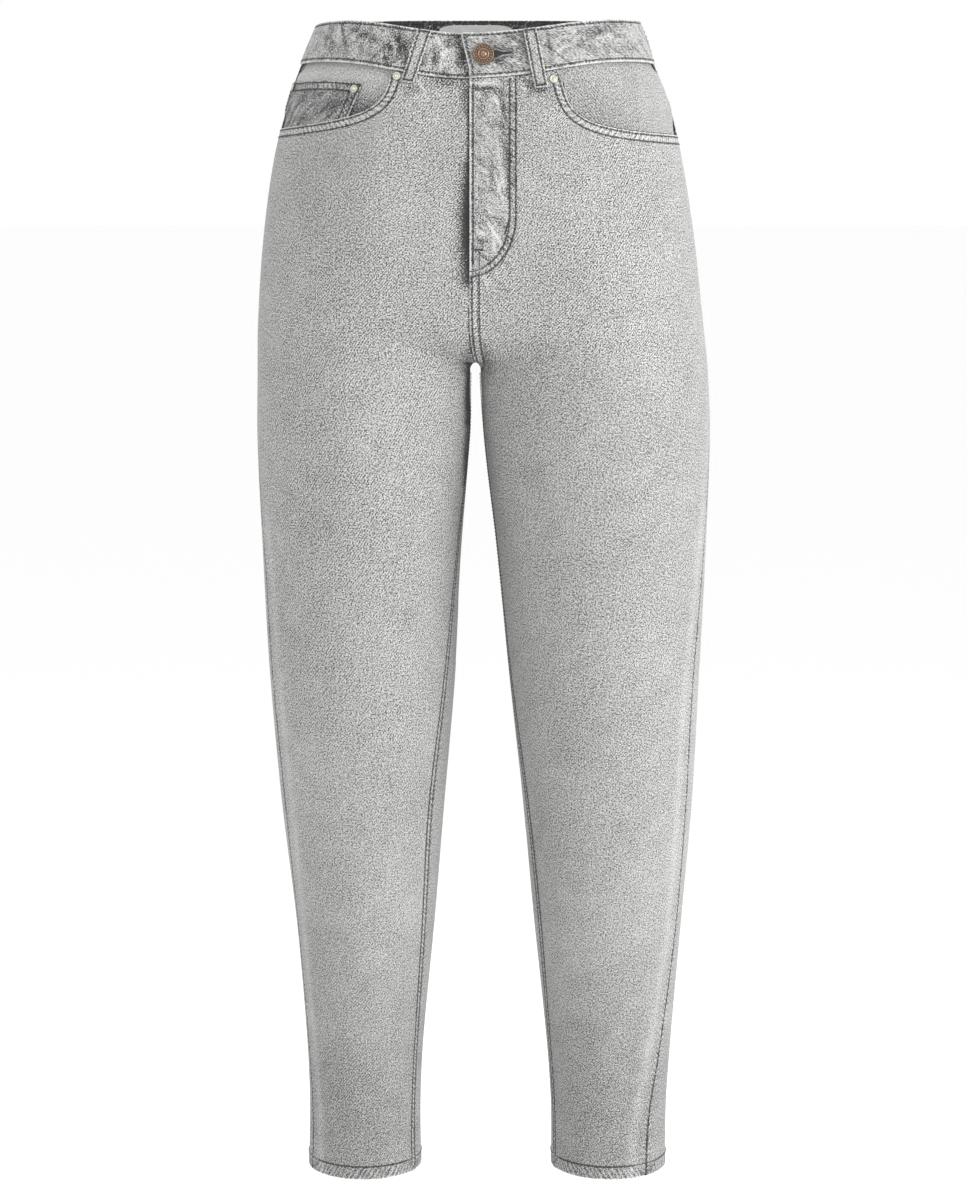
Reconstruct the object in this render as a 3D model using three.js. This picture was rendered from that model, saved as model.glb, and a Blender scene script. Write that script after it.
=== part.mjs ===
// High-rise tapered mom jeans in washed grey denim, hollow and filled out as worn.
// Every piece that is cut and sewn on is a body of its own.
// Millimetres, +Z up, the front towards -Y, and the garment's own left towards +X.
// The origin is the middle of the waist opening, level with the band's top edge at the side seams.
import * as THREE from "three";

// Driving sizes
const outseam = 984; // waist edge to hem, straight down at the side
const bandDrop = 33.5; // height of the waistband, straight down
const crotchDrop = 281; // waist edge to the point where the four panels meet
const frontDip = 12.4; // how far the waist edge dips at the centre front
const dipPower = 3; // the higher, the nearer to the centre the dip keeps
const bandSpread = 3; // the band is this much higher at the centre front
const backRise = 8; // how far the waist edge rises at the back
const sideSag = { [-1]: 1.4, [1]: -1.8 }; // how far it hangs at the right and left side seam
const bandNarrow = { [-1]: 1.2, [1]: -1.7 }; // the band is this much lower in height at each side seam
const sagPower = 6; // the higher, the nearer to the side seams the sag keeps
const dipFade = 200; // the level where the cloth's rows are flat again
const denim = 1.4; // one layer of cloth
const seamGap = 0.3; // between neighbouring pieces
const bandGap = 0.5; // between the band and what hangs from it
const centreFront = -9.5; // x of the fly edge and centre front seam
const centreBack = 0;
const forkX = -4.5; // x and y of the crotch point
const forkY = -38;
const hooks = {
  // how high above the crotch point each rise starts to turn under, and how late it does
  front: { height: 52, power: 2.8 },
  back: { height: 150, power: 2 },
};
const webFillet = 34; // softness of the line where the seat and each thigh meet
const partedBelow = 150; // height in which the fullest lines of the legs move apart
const slotRound = 4; // height in which the legs part below the crotch
const inseamSettled = 350; // the level from which the inseam lies where the levels say
const foldFade = 60; // folds fade in below the band, and out above the hem, in this height

// One row for each level, in plan: drop below the waist edge, outermost and innermost x of the right and left
// leg, y of the front, the back and the widest point, how far out the fullest point lies as a share of the half
// width, and how far the side seam and inseam of each leg stand forward, as a share of a quarter turn.
const levelColumns = [
  "drop", "outRight", "inRight", "inLeft", "outLeft", "front", "back", "widest", "fullest",
  "sideRight", "sideLeft", "innerRight", "innerLeft",
];
const levels = [
  [-12, -131, -9, 0, 126.5, -93, 92, 2, 0.3, 0, 0, 0, 0],
  [0, -136.5, -9, 0, 132.5, -96, 95, 2, 0.3, 0, 0, 0, 0],
  [30, -149.5, -9, 0, 143.8, -101, 102, 3, 0.3, 0, 0, 0, 0],
  [63, -161.5, -9, 0, 157.5, -107, 110, 4, 0.31, 0, 0, 0, 0],
  [113, -174.5, -9, 0, 169.5, -113, 123, 6, 0.33, 0, 0, 0, 0],
  [180, -184, -9, 0, 180.5, -116, 135, 8, 0.38, 0, 0, 0, 0],
  [247, -188.5, -9, 0, 188, -113, 131, 6, 0.46, 0, 0, 0, 0],
  [290, -189, -9, 0, 192.5, -107, 119, 4, 0.5, 0.03, 0.03, 0, 0],
  [350, -189, -10, 4, 194.5, -101, 107, 2, 0.5, 0.1, 0.1, 0.08, 0.03],
  [450, -184.5, -17.5, 14.5, 191.5, -92, 95, 1, 0.5, 0.18, 0.18, 0.16, 0.06],
  [555, -179.5, -22.5, 24.5, 187, -82, 86, 2, 0.5, 0.2, 0.27, 0.27, 0.09],
  [660, -171.5, -31.5, 36, 182, -71, 80, 4, 0.5, 0.23, 0.28, 0.34, 0.15],
  [766, -160, -40.3, 46, 173.7, -60, 75, 7, 0.5, 0.18, 0.28, 0.32, 0.2],
  [872, -152, -50.3, 57, 165.5, -50, 70, 10, 0.5, 0.2, 0.42, 0.28, 0.16],
  [930, -150, -53, 61, 162, -46, 67, 11, 0.5, 0.25, 0.54, 0.28, 0.16],
  [984, -151, -52.6, 61.5, 161.5, -44, 66, 11, 0.5, 0.27, 0.58, 0.29, 0.17],
];

// Soft folds of the hanging cloth: which leg, level, place round the leg in quarter turns from the inner front,
// depth, height, width as a share of a quarter turn, and how much the fold climbs towards the side.
const foldColumns = ["side", "drop", "turn", "depth", "height", "width", "climb"];
const folds = [
  [-1, 322, 0.62, -2.2, 70, 0.3, 60],
  [1, 330, 0.55, -2.4, 75, 0.28, 70],
  [-1, 560, 3.1, -3.0, 60, 0.6, 25],
  [1, 575, 3.0, -3.0, 64, 0.6, -20],
  [-1, 250, 3.5, -2.4, 55, 0.4, -60],
  [1, 255, 3.45, -2.6, 58, 0.4, -60],
  [-1, 900, 2.9, -2.2, 50, 0.5, 20],
  [1, 915, 3.0, -2.2, 50, 0.5, -20],
  [-1, 470, 1.86, 1.8, 190, 0.16, 0],
  [1, 640, 0.3, -1.6, 160, 0.2, 0],
];

// Waistband
const bandLift = 1; // the band stands this far proud of the panels
const bandWall = 2.6;
const lapEndX = -17; // free end of the upper lap, at the band's top edge
const lapEndLean = 9.5; // and how much nearer the fly edge its lower corner lies
const underEndX = 18; // end of the under lap
const lapRise = 2.9 / 2; // the two ends part by this much each way
const lapRamp = 30;

// Belt loops: which side, x of the top and bottom on the front, or quarter turns for the others
const loopWidth = 11;
const loopWall = 1.8;
const loopTop = 0.4;
const loopBend = 0.6; // below the band's edge a loop starts to turn in here
const loopSewn = 4; // and lies on the panel from here
const loopColumns = ["name", "side", "face", "top", "bottom", "low", "slack"];
const loops = [
  ["loop_front_right", -1, "front", -44.8, -59.5, 42, 1.4],
  ["loop_front_left", 1, "front", 39, 49, 46.5, 1.4],
  ["loop_side_right", -1, "turn", 2.17, 2.17, 43, 1.3],
  ["loop_side_left", 1, "turn", 2.12, 2.12, 43, 1.3],
  ["loop_back", 1, "back", 6.5, 6.5, 45, 1.4],
];

// Front pockets: where the scooped opening starts at the band, how deep it is at the side seam, how square its
// curve is, how far the bearer lies behind the front, and how far it comes out again towards the side seam
const scoops = {
  right: { side: -1, startX: -72, deep: 86.5, power: 3.1, bearerSink: 4, bearerRise: 2.7, bearerStart: -52 },
  left: { side: 1, startX: 63, deep: 92.5, power: 3.8, bearerSink: 2.5, bearerRise: 2.2, bearerStart: 44 },
};
const riseZone = {
  turn: [0.03, 0.2], // from the side seam
  under: [1.5, 9], // below the band's edge
  over: [4, 18], // above the scoop's lowest point
};
const bearerWall = 1.2;
const bearerTop = 27;
const bearerUnder = 26; // how far the bearer runs on under the front
const coin = { fromSide: 8, inner: -97, lean: -25, top: 48, low: 106, proud: 2, wall: 1.2 };

// Fly: the J of the stitched facing, which stands out on the left front
const fly = { edge: -9.2, width: 38.5, straight: 158, low: 206, lift: 0.3, wall: 1.0 };

// Back: yoke seam and patch pockets
const yokeAtSide = 72;
const yokeAtCentre = 99;
const backPocket = {
  inner: 34, outer: 154, narrowed: 0.88, top: 118, side: 238, tip: 262, tilt: 9, lift: 0.8, wall: 1.2,
};

// Hems: the folded edge is thicker
const hemHeight = 13;
const hemExtra = 0.7;

// Metal and label
const buttonX = 2;
const buttonRise = [
  // radius and height of the turned profile
  [0, 0.3], [4.6, 0.3], [4.6, 1.3], [8, 1.5], [8.6, 2.2], [8.3, 3.1], [7, 3.5], [6.4, 3.0], [3.4, 3.0],
  [2.6, 3.8], [0, 4.1],
];
const rivetRise = [
  [0, 0.3], [3.5, 0.3], [3.4, 0.9], [2.5, 1.4], [1.4, 1.3], [1.0, 2.0], [0, 2.1],
];
const buttonSides = 24;
const rivetSides = 16;
const coinRivetLift = 0.35; // the cloth below these rises towards the side seam
const rivets = [
  // name, side, x, row, and what it is set on
  ["rivet_pocket_right", -1, -68, 38, "front"],
  ["rivet_pocket_left", 1, 58.5, 41, "front"],
  ["rivet_coin_outer", -1, -156.5, 53, "coin"],
  ["rivet_coin_inner", -1, -103.5, 53.3, "coin"],
];
const label = { left: -36, right: 26.5, top: 3.5, low: 30, corner: 3, wall: 1.0 };

const sideOf = { [-1]: "Right", [1]: "Left" };
const roundHandle = 0.5523; // a quarter arc's control handle as a share of its radius
const probe = 0.8; // mm, for measuring the direction of the cloth
const probeTurn = 0.01;
const anyTurn = 9; // more than any turn that is used on a leg

function clamp(value, low, high) {
  return Math.min(high, Math.max(low, value));
}

function mix(a, b, share) {
  return a + (b - a) * share;
}

function ease(value, from, to) {
  const s = clamp((value - from) / (to - from), 0, 1);
  return s * s * (3 - 2 * s);
}

function rowsOf(columns, table) {
  return table.map((row) => Object.fromEntries(columns.map((name, k) => [name, row[k]])));
}

const levelRows = rowsOf(levelColumns, levels);
const foldRows = rowsOf(foldColumns, folds);
const loopRows = rowsOf(loopColumns, loops);

// A smooth curve through one column of the levels, with the slopes of its neighbours
function slopeAt(k, column) {
  const a = levelRows[Math.max(0, k - 1)];
  const b = levelRows[Math.min(levelRows.length - 1, k + 1)];
  return (b[column] - a[column]) / (b.drop - a.drop);
}

function levelValue(drop, column) {
  const last = levelRows.length - 2;
  let k = 0;
  while (k < last && drop > levelRows[k + 1].drop) k += 1;
  const from = levelRows[k];
  const to = levelRows[k + 1];
  const span = to.drop - from.drop;
  const s = clamp((drop - from.drop) / span, 0, 1);
  const s2 = s * s;
  const s3 = s2 * s;
  return (
    from[column] * (2 * s3 - 3 * s2 + 1) +
    to[column] * (3 * s2 - 2 * s3) +
    span * slopeAt(k, column) * (s3 - 2 * s2 + s) +
    span * slopeAt(k + 1, column) * (s3 - s2)
  );
}

// The inner end of a half section: the centre seam above the crotch, the inner leg below it
function innerEnd(side, drop, face) {
  const top = face === "front" ? centreFront : centreBack;
  const share = clamp((drop - crotchDrop) / hooks[face].height + 1, 0, 1);
  const seamX = mix(top, forkX, share ** 3) + (side * seamGap) / 2;
  if (drop <= crotchDrop) return { x: seamX, y: forkY, middleX: seamX };
  const legX = levelValue(drop, "in" + sideOf[side]);
  const parted = Math.sqrt(clamp((drop - crotchDrop) / slotRound, 0, 1));
  const middleX = mix(seamX, legX, ease(drop, crotchDrop, crotchDrop + partedBelow));
  const y = mix(forkY, levelValue(drop, "widest"), ease(drop, crotchDrop, crotchDrop + partedBelow));
  return { x: mix(seamX, legX, parted), y, middleX };
}

// The smaller of two depths, with the corner between them rounded
function softMin(a, b, round) {
  const near = Math.max(round - Math.abs(a - b), 0);
  return Math.min(a, b) - (round > 0 ? (near * near) / (4 * round) : 0);
}

// How deep the cloth between the fullest lines lies: it follows the thigh or the web between the thighs,
// whichever is further out
function turnedUnder(share, face, toSeam, aside, depth) {
  const { power } = hooks[face];
  const thigh = 1 - Math.sqrt(1 - toSeam * toSeam);
  const web = 1 - (1 - share ** power) ** (1 / power);
  return softMin(depth * thigh, depth * web, webFillet * Math.sin(Math.PI * share) * (1 - aside));
}

function bezier(a, b, c, d, s) {
  const r = 1 - s;
  return a * r * r * r + 3 * b * r * r * s + 3 * c * r * s * s + d * s * s * s;
}

// A point of one leg's or half body's section in plan. The turn runs 0 to 4: inner front, fullest front,
// side, fullest back, inner back, and on a leg it runs on round.
function sectionPoint(side, drop, turn) {
  const onLeg = drop > crotchDrop;
  const q = onLeg ? ((turn % 4) + 4) % 4 : clamp(turn, 0, 4);
  const face = q <= 2 ? "front" : "back";
  const end = innerEnd(side, drop, face);
  const out = levelValue(drop, "out" + sideOf[side]);
  const widest = levelValue(drop, "widest");
  const fullX = mix(end.middleX, out, levelValue(drop, "fullest"));
  const fullY = levelValue(drop, face);
  const fromMiddle = q <= 2 ? q : 4 - q;
  let x, y;
  if (fromMiddle <= 1) {
    const share = onLeg ? 1 : clamp((drop - crotchDrop) / hooks[face].height + 1, 0, 1);
    const along = roundHandle * (fullX - end.middleX);
    const flatX = bezier(end.middleX, end.middleX + along, fullX - along, fullX, fromMiddle);
    const roundX = bezier(end.middleX, end.middleX, fullX - along, fullX, fromMiddle);
    const roundedX = mix(flatX, roundX, ease(share, 0, 1));
    const toSeam = clamp((fullX - roundedX) / (fullX - end.middleX), 0, 1);
    x = roundedX + (end.x - end.middleX) * (1 - fromMiddle) ** 3;
    const depth = Math.abs(end.y - fullY);
    y = fullY + Math.sign(end.y - fullY) * turnedUnder(share, face, toSeam, fromMiddle, depth);
  } else {
    const outer = fromMiddle - 1;
    x = bezier(fullX, fullX + roundHandle * (out - fullX), out, out, outer);
    y = bezier(fullY, fullY, widest + roundHandle * (fullY - widest), widest, outer);
  }
  const facing = clamp((y - widest) / (fullY - widest), 0, 1);
  return { x, y, out, inner: end.x, facing, front: q <= 2 };
}

// The waist edge dips at the front and rises at the back, and the rows below follow it less and less
function waistShift(side, section, row) {
  const c = clamp(Math.abs((section.x - section.inner) / (section.out - section.inner)), 0, 1);
  const dip = (frontDip + bandSpread * ease(row, 0, bandDrop)) * (1 - c * c) ** dipPower;
  const shift = section.front ? dip : -backRise * section.facing;
  const atSide = (sideSag[side] - bandNarrow[side] * ease(row, 0, bandDrop)) * c ** sagPower;
  return (shift + atSide) * (1 - ease(row, bandDrop, dipFade));
}

function foldLift(side, drop, turn) {
  let lift = 0;
  for (const f of foldRows) {
    if (f.side !== side) continue;
    const across = (turn - f.turn) / f.width;
    const along = (drop - f.drop + f.climb * (turn - f.turn)) / f.height;
    lift += f.depth * Math.exp(-(across * across + along * along));
  }
  return lift;
}

// The cloth's face at a row below the waist edge and a turn round the half
function barePoint(side, row, turn) {
  const flat = sectionPoint(side, row, turn);
  const drop = row < dipFade ? row + waistShift(side, flat, row) : row;
  const section = sectionPoint(side, drop, turn);
  return new THREE.Vector3(section.x, section.y, -drop);
}

function outward(side, row, turn) {
  const low = row < crotchDrop ? 0 : -anyTurn;
  const high = row < crotchDrop ? 4 : anyTurn;
  const a = barePoint(side, row, clamp(turn - probeTurn, low, high));
  const b = barePoint(side, row, clamp(turn + probeTurn, low, high));
  const above = barePoint(side, row - probe, turn);
  const below = barePoint(side, row + probe, turn);
  const across = b.sub(a);
  const down = below.sub(above);
  return across.cross(down).multiplyScalar(-side).normalize();
}

function skin(side, row, turn, lift = 0) {
  const folded = foldLift(side, row, ((turn % 4) + 4) % 4) * ease(row, bandDrop, bandDrop + foldFade);
  const reach = lift + folded * (1 - ease(row, outseam - foldFade, outseam));
  return barePoint(side, row, turn).addScaledVector(outward(side, row, turn), reach);
}

// Steps sideways along the cloth by a length in millimetres, and gives the turn reached
function stepTurn(side, row, turn, length) {
  const strides = 5;
  const ahead = Math.sign(length) * probeTurn * 0.2;
  let reached = turn;
  for (let k = 0; k < strides; k += 1) {
    const moved = barePoint(side, row, reached).distanceTo(barePoint(side, row, reached + ahead));
    reached += (ahead * Math.abs(length)) / strides / Math.max(moved, 1e-4);
  }
  return reached;
}

// The turn at which a half of the front or back reaches x, at a row above the crotch
function turnAtX(side, row, x, face) {
  const halvings = 30;
  let low = face === "front" ? 0 : 4;
  let high = 2;
  for (let k = 0; k < halvings; k += 1) {
    const middle = (low + high) / 2;
    const reached = barePoint(side, row, middle).x * side >= x * side;
    if (reached) high = middle;
    else low = middle;
  }
  return (low + high) / 2;
}

function frontPoint(x, row, lift) {
  const side = x < centreFront ? -1 : 1;
  return skin(side, row, turnAtX(side, row, x, "front"), lift);
}

function backPoint(x, row, lift) {
  const side = x < centreBack ? -1 : 1;
  return skin(side, row, turnAtX(side, row, x, "back"), lift);
}

// A closed wall between an outer and an inner grid of points
function wall(rows, columns, outerAt, innerAt) {
  const points = [];
  const faces = [];
  const layer = (rows + 1) * (columns + 1);
  const index = (i, j, inner) => (inner ? layer : 0) + i * (columns + 1) + j;
  for (const at of [outerAt, innerAt]) {
    for (let i = 0; i <= rows; i += 1) {
      for (let j = 0; j <= columns; j += 1) points.push(at(i, j));
    }
  }
  const quad = (a, b, c, d) => faces.push(a, b, c, a, c, d);
  for (let i = 0; i < rows; i += 1) {
    for (let j = 0; j < columns; j += 1) {
      quad(index(i, j), index(i + 1, j), index(i + 1, j + 1), index(i, j + 1));
      quad(index(i, j, 1), index(i, j + 1, 1), index(i + 1, j + 1, 1), index(i + 1, j, 1));
    }
    quad(index(i, 0), index(i, 0, 1), index(i + 1, 0, 1), index(i + 1, 0));
    quad(index(i + 1, columns), index(i + 1, columns, 1), index(i, columns, 1), index(i, columns));
  }
  for (let j = 0; j < columns; j += 1) {
    quad(index(0, j), index(0, j + 1), index(0, j + 1, 1), index(0, j, 1));
    quad(index(rows, j + 1), index(rows, j), index(rows, j, 1), index(rows, j + 1, 1));
  }
  return solidFrom(points, faces);
}

function signedVolume(points, faces) {
  let six = 0;
  for (let k = 0; k < faces.length; k += 3) {
    const [a, b, c] = [points[faces[k]], points[faces[k + 1]], points[faces[k + 2]]];
    six += a.dot(b.clone().cross(c));
  }
  return six / 6;
}

function solidFrom(points, faces) {
  const turned = signedVolume(points, faces) < 0 ? faces.slice().reverse() : faces;
  const geometry = new THREE.BufferGeometry();
  const places = points.flatMap((point) => point.toArray());
  geometry.setAttribute("position", new THREE.Float32BufferAttribute(places, 3));
  geometry.setIndex(turned);
  geometry.computeVertexNormals();
  return geometry;
}

const finishes = {
  denim: new THREE.MeshStandardMaterial({ color: 0xbcbcba, roughness: 0.92, metalness: 0 }),
  darkDenim: new THREE.MeshStandardMaterial({ color: 0x9a9a98, roughness: 0.93, metalness: 0 }),
  copper: new THREE.MeshStandardMaterial({ color: 0x9a6a50, roughness: 0.42, metalness: 1 }),
  brass: new THREE.MeshStandardMaterial({ color: 0xc4c2ae, roughness: 0.4, metalness: 1 }),
  label: new THREE.MeshStandardMaterial({ color: 0xd4d4d0, roughness: 0.8, metalness: 0 }),
};

const jeans = new THREE.Group();

function addPiece(name, geometry, finish) {
  const mesh = new THREE.Mesh(geometry, finishes[finish]);
  mesh.name = name;
  jeans.add(mesh);
  return mesh;
}

// Rows of the leg panels, closer together round the crotch
const legRows = [
  150, 180, 208, 230, 242, 253, 262, 270, 276, crotchDrop, crotchDrop + slotRound / 4, crotchDrop + slotRound,
  292, 308, 335, 370, 410, 455, 505, 555, 610, 665, 720, 775, 830, 880, 930, outseam - hemHeight, outseam,
];

function hemWall(row) {
  return row > outseam - hemHeight - 1 ? hemExtra : 0;
}

function sideSeam(side, row) {
  return 2 - levelValue(row, "side" + sideOf[side]);
}

function innerSeam(side, row) {
  if (row <= crotchDrop) return 0;
  return levelValue(row, "inner" + sideOf[side]) * ease(row, crotchDrop, inseamSettled);
}

// The scooped edge of a front pocket: share 0 at the band, 1 at the side seam
function scoopPlace(pocket, share) {
  const bend = (share * Math.PI) / 2;
  const start = turnAtX(pocket.side, bandDrop, pocket.startX, "front");
  const top = bandDrop + bandGap;
  return {
    turn: 2 - (2 - start) * Math.cos(bend) ** (2 / pocket.power),
    row: top + (pocket.deep - top) * Math.sin(bend) ** (2 / pocket.power),
  };
}

// Shares along a curve of places on one side that split it into equal lengths
function evenShares(side, placeAt, count) {
  const fine = 200;
  const reached = [0];
  for (let k = 1; k <= fine; k += 1) {
    const [a, b] = [placeAt((k - 1) / fine), placeAt(k / fine)];
    const step = barePoint(side, a.row, a.turn).distanceTo(barePoint(side, b.row, b.turn));
    reached.push(reached[k - 1] + step);
  }
  return Array.from({ length: count + 1 }, (_, j) => {
    const wanted = (reached[fine] * j) / count;
    return reached.findIndex((length) => length >= wanted - 1e-9) / fine;
  });
}

// Front panels: a column starts on the band's seam or on the scooped edge, and runs to the hem
function frontPanel(pocket) {
  const side = pocket.side;
  const bandColumns = 6;
  const scoopColumns = 12;
  const columns = bandColumns + scoopColumns;
  const upperRows = 8;
  const rows = upperRows + legRows.length - 1;
  const scoopStart = scoopPlace(pocket, 0);
  const shares = evenShares(side, (share) => scoopPlace(pocket, share), scoopColumns);
  const tops = Array.from({ length: columns + 1 }, (_, j) =>
    j < bandColumns
      ? { row: scoopStart.row, turn: (scoopStart.turn * j) / bandColumns }
      : scoopPlace(pocket, shares[j - bandColumns]),
  );
  const place = (i, j) => {
    const upper = clamp(i / upperRows, 0, 1);
    const row = i < upperRows ? mix(tops[j].row, legRows[0], upper) : legRows[i - upperRows];
    let from = innerSeam(side, row);
    let to = sideSeam(side, row);
    if (row >= crotchDrop) from = stepTurn(side, row, from, seamGap / 2);
    to = stepTurn(side, row, to, -seamGap / 2);
    const even = mix(from, to, j / columns);
    const atTop = Math.min(tops[j].turn, to);
    return { row, turn: mix(atTop, even, ease(i, 0, upperRows)) };
  };
  return wallOnSkin(side, rows, columns, place, () => 0, denim);
}

// A wall whose points follow the cloth's face, at a lift from it
function wallOnSkin(side, rows, columns, place, liftAt, thickness) {
  const outerAt = (i, j) => {
    const { row, turn } = place(i, j);
    return skin(side, row, turn, liftAt(row, turn) + hemWall(row) / 2);
  };
  const innerAt = (i, j) => {
    const { row, turn } = place(i, j);
    const point = skin(side, row, turn, liftAt(row, turn) - thickness - hemWall(row) / 2);
    if (row <= crotchDrop + slotRound) {
      const seamX = innerEnd(side, Math.min(row, crotchDrop), turn <= 2 ? "front" : "back").x;
      point.x = side > 0 ? Math.max(point.x, seamX) : Math.min(point.x, seamX);
    }
    return point;
  };
  return wall(rows, columns, outerAt, innerAt);
}

// The yoke seam runs straight down towards the centre back, whatever the waist edge does
function yokeRow(side, turn) {
  const drop = mix(yokeAtSide, yokeAtCentre, clamp((turn - 2) / 2, 0, 1));
  return drop - waistShift(side, sectionPoint(side, drop, turn), drop);
}

function backPanel(side) {
  const columns = 14;
  const upperRows = 2;
  const rows = upperRows + legRows.length - 1;
  const place = (i, j) => {
    const share = j / columns;
    const top = yokeRow(side, 2 + 2 * share) + seamGap / 2;
    const row = i < upperRows ? mix(top, legRows[0], i / upperRows) : legRows[i - upperRows];
    const from = stepTurn(side, row, sideSeam(side, row), seamGap / 2);
    let to = 4 + innerSeam(side, row);
    if (row >= crotchDrop) to = stepTurn(side, row, to, -seamGap / 2);
    return { row, turn: mix(from, to, share) };
  };
  return wallOnSkin(side, rows, columns, place, () => 0, denim);
}

function yoke(side) {
  const columns = 16;
  const rows = 4;
  const place = (i, j) => {
    const from = stepTurn(side, bandDrop, 2, seamGap / 2);
    const turn = mix(from, 4, j / columns);
    const low = yokeRow(side, turn) - seamGap / 2;
    return { row: mix(bandDrop + bandGap, low, i / rows), turn };
  };
  return wallOnSkin(side, rows, columns, place, () => 0, denim);
}

// The bearer's face lies behind the front, and comes out to the side seam where it is in the open
function bearerLift(pocket, row, turn) {
  const [nearTurn, farTurn] = riseZone.turn;
  const nearSeam = 1 - ease(2 - turn, nearTurn, farTurn);
  const underBand = ease(row - bandDrop, ...riseZone.under);
  const overScoop = ease(pocket.deep - row, ...riseZone.over);
  return pocket.bearerRise * nearSeam * underBand * overScoop - pocket.bearerSink;
}

// The pocket bearer fills the scoop and runs on under the front
function bearer(pocket) {
  const side = pocket.side;
  const columns = 15;
  const rows = 10;
  const evenColumns = 10;
  const place = (i, j) => {
    const low = pocket.deep + bearerUnder;
    const row = mix(bearerTop, low, i / rows);
    const start = turnAtX(side, row, pocket.bearerStart, "front");
    const end = stepTurn(side, row, 2, -seamGap / 2);
    const zone = end - riseZone.turn[1];
    const turn = j < evenColumns
      ? mix(start, zone, j / evenColumns)
      : mix(zone, end, (j - evenColumns) / (columns - evenColumns));
    return { row, turn };
  };
  const liftAt = (row, turn) => bearerLift(pocket, row, turn);
  return wallOnSkin(side, rows, columns, place, liftAt, bearerWall);
}

function coinPocket() {
  const columns = 12;
  const rows = 8;
  const place = (i, j) => {
    const row = mix(coin.top, coin.low, i / rows);
    const outer = stepTurn(-1, row, 2, -coin.fromSide);
    const inner = turnAtX(-1, row, coin.inner + (coin.lean * i) / rows, "front");
    return { row, turn: mix(inner, outer, j / columns) };
  };
  const liftAt = (row, turn) => bearerLift(scoops.right, row, turn) + coin.proud;
  return wallOnSkin(-1, rows, columns, place, liftAt, coin.wall);
}

// The fly facing's J: straight down, then round to the fly edge
function flyPiece() {
  const columns = 5;
  const straightRows = 6;
  const hookRows = 8;
  const hookEnd = 0.98; // of the quarter turn to the fly edge
  const rows = straightRows + hookRows;
  const top = bandDrop + seamGap * 2;
  const place = (i, j) => {
    const hook = clamp((i - straightRows) / hookRows, 0, hookEnd) * (Math.PI / 2);
    const row = i <= straightRows
      ? mix(top, fly.straight, i / straightRows)
      : fly.straight + (fly.low - fly.straight) * Math.sin(hook);
    const width = i <= straightRows ? fly.width : fly.width * Math.cos(hook);
    return { x: fly.edge + (width * j) / columns, row };
  };
  const at = (lift) => (i, j) => {
    const { x, row } = place(i, j);
    return frontPoint(x, row, lift);
  };
  return wall(rows, columns, at(fly.lift + fly.wall), at(fly.lift));
}

// The band goes once round: turns 0 to 4 on the right half, 4 to 8 on the left, and past both ends
function bandSkin(around, row, lift) {
  if (around < 0) return skin(1, row, -around, lift);
  if (around <= 4) return skin(-1, row, around, lift);
  if (around <= 8) return skin(1, row, 8 - around, lift);
  return skin(-1, row, around - 8, lift);
}

function lapLift(around, x) {
  if (around > 7) return lapRise * (1 - ease(x, underEndX + 2, underEndX + 2 + lapRamp));
  if (around < 1) return -lapRise * ease(x, lapEndX - 2 - lapRamp, lapEndX - 2);
  return 0;
}

function waistband() {
  const columns = 84;
  const rows = 2;
  const turns = (row) => {
    const lean = (row / bandDrop) * lapEndLean;
    const first = -turnAtX(1, row, underEndX, "front");
    const last = 8 + turnAtX(-1, row, lapEndX + lean, "front");
    return { first, last };
  };
  const at = (lift) => (i, j) => {
    const row = (bandDrop * i) / rows;
    const { first, last } = turns(row);
    const around = mix(first, last, j / columns);
    const x = bandSkin(around, row, 0).x;
    return bandSkin(around, row, lift + lapLift(around, x));
  };
  return wall(rows, columns, at(bandLift), at(bandLift - bandWall));
}

// A belt loop lies on the band, stands off it in the middle and is sewn to the panel below
function loopLift(row, slack) {
  const onBand = clamp((row - loopTop) / (bandDrop - loopTop), 0, 1);
  const proud = bandLift + seamGap + slack * Math.sin(onBand * Math.PI);
  return mix(proud, seamGap, ease(row, bandDrop + loopBend, bandDrop + loopSewn));
}

function beltLoop(loop) {
  const rows = [
    loopTop, 2, 5, 10, 16, 22, 28, bandDrop, bandDrop + loopBend, bandDrop + loopSewn / 2, bandDrop + loopSewn,
    bandDrop + 6, loop.low,
  ];
  const centreAt = (row) => {
    const share = (row - loopTop) / (loop.low - loopTop);
    const value = mix(loop.top, loop.bottom, share);
    return loop.face === "turn" ? value : turnAtX(loop.side, row, value, loop.face);
  };
  const onUpperLap = loop.face === "front" && loop.side > 0;
  const lapAt = (row, turn) =>
    lapLift(8, barePoint(1, row, turn).x) * (1 - ease(row, bandDrop + loopBend, bandDrop + loopSewn));
  const at = (extra) => (i, j) => {
    const row = rows[i];
    const turn = stepTurn(loop.side, row, centreAt(row), loopWidth * (j / 2 - 0.5));
    const lap = onUpperLap ? lapAt(row, turn) : 0;
    return skin(loop.side, row, turn, loopLift(row, loop.slack) + lap + extra);
  };
  return wall(rows.length - 1, 2, at(loopWall), at(0));
}

// A patch pocket with a pointed lower edge, sewn on the back panel
function backPocketPiece(side) {
  const columns = 10;
  const rows = 8;
  const place = (i, j) => {
    const across = j / columns;
    const fromTip = Math.abs(across - 0.5) * 2;
    const low = mix(backPocket.tip, backPocket.side, fromTip);
    const top = backPocket.top - backPocket.tilt * (across - 0.5);
    const narrow = mix(1, backPocket.narrowed, i / rows);
    const middle = (backPocket.inner + backPocket.outer) / 2;
    const half = ((backPocket.outer - backPocket.inner) / 2) * narrow;
    return { x: side * (middle + (across * 2 - 1) * half), row: mix(top, low, i / rows) };
  };
  const at = (lift) => (i, j) => {
    const { x, row } = place(i, j);
    return backPoint(x, row, lift);
  };
  return wall(rows, columns, at(backPocket.lift + backPocket.wall), at(backPocket.lift));
}

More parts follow.
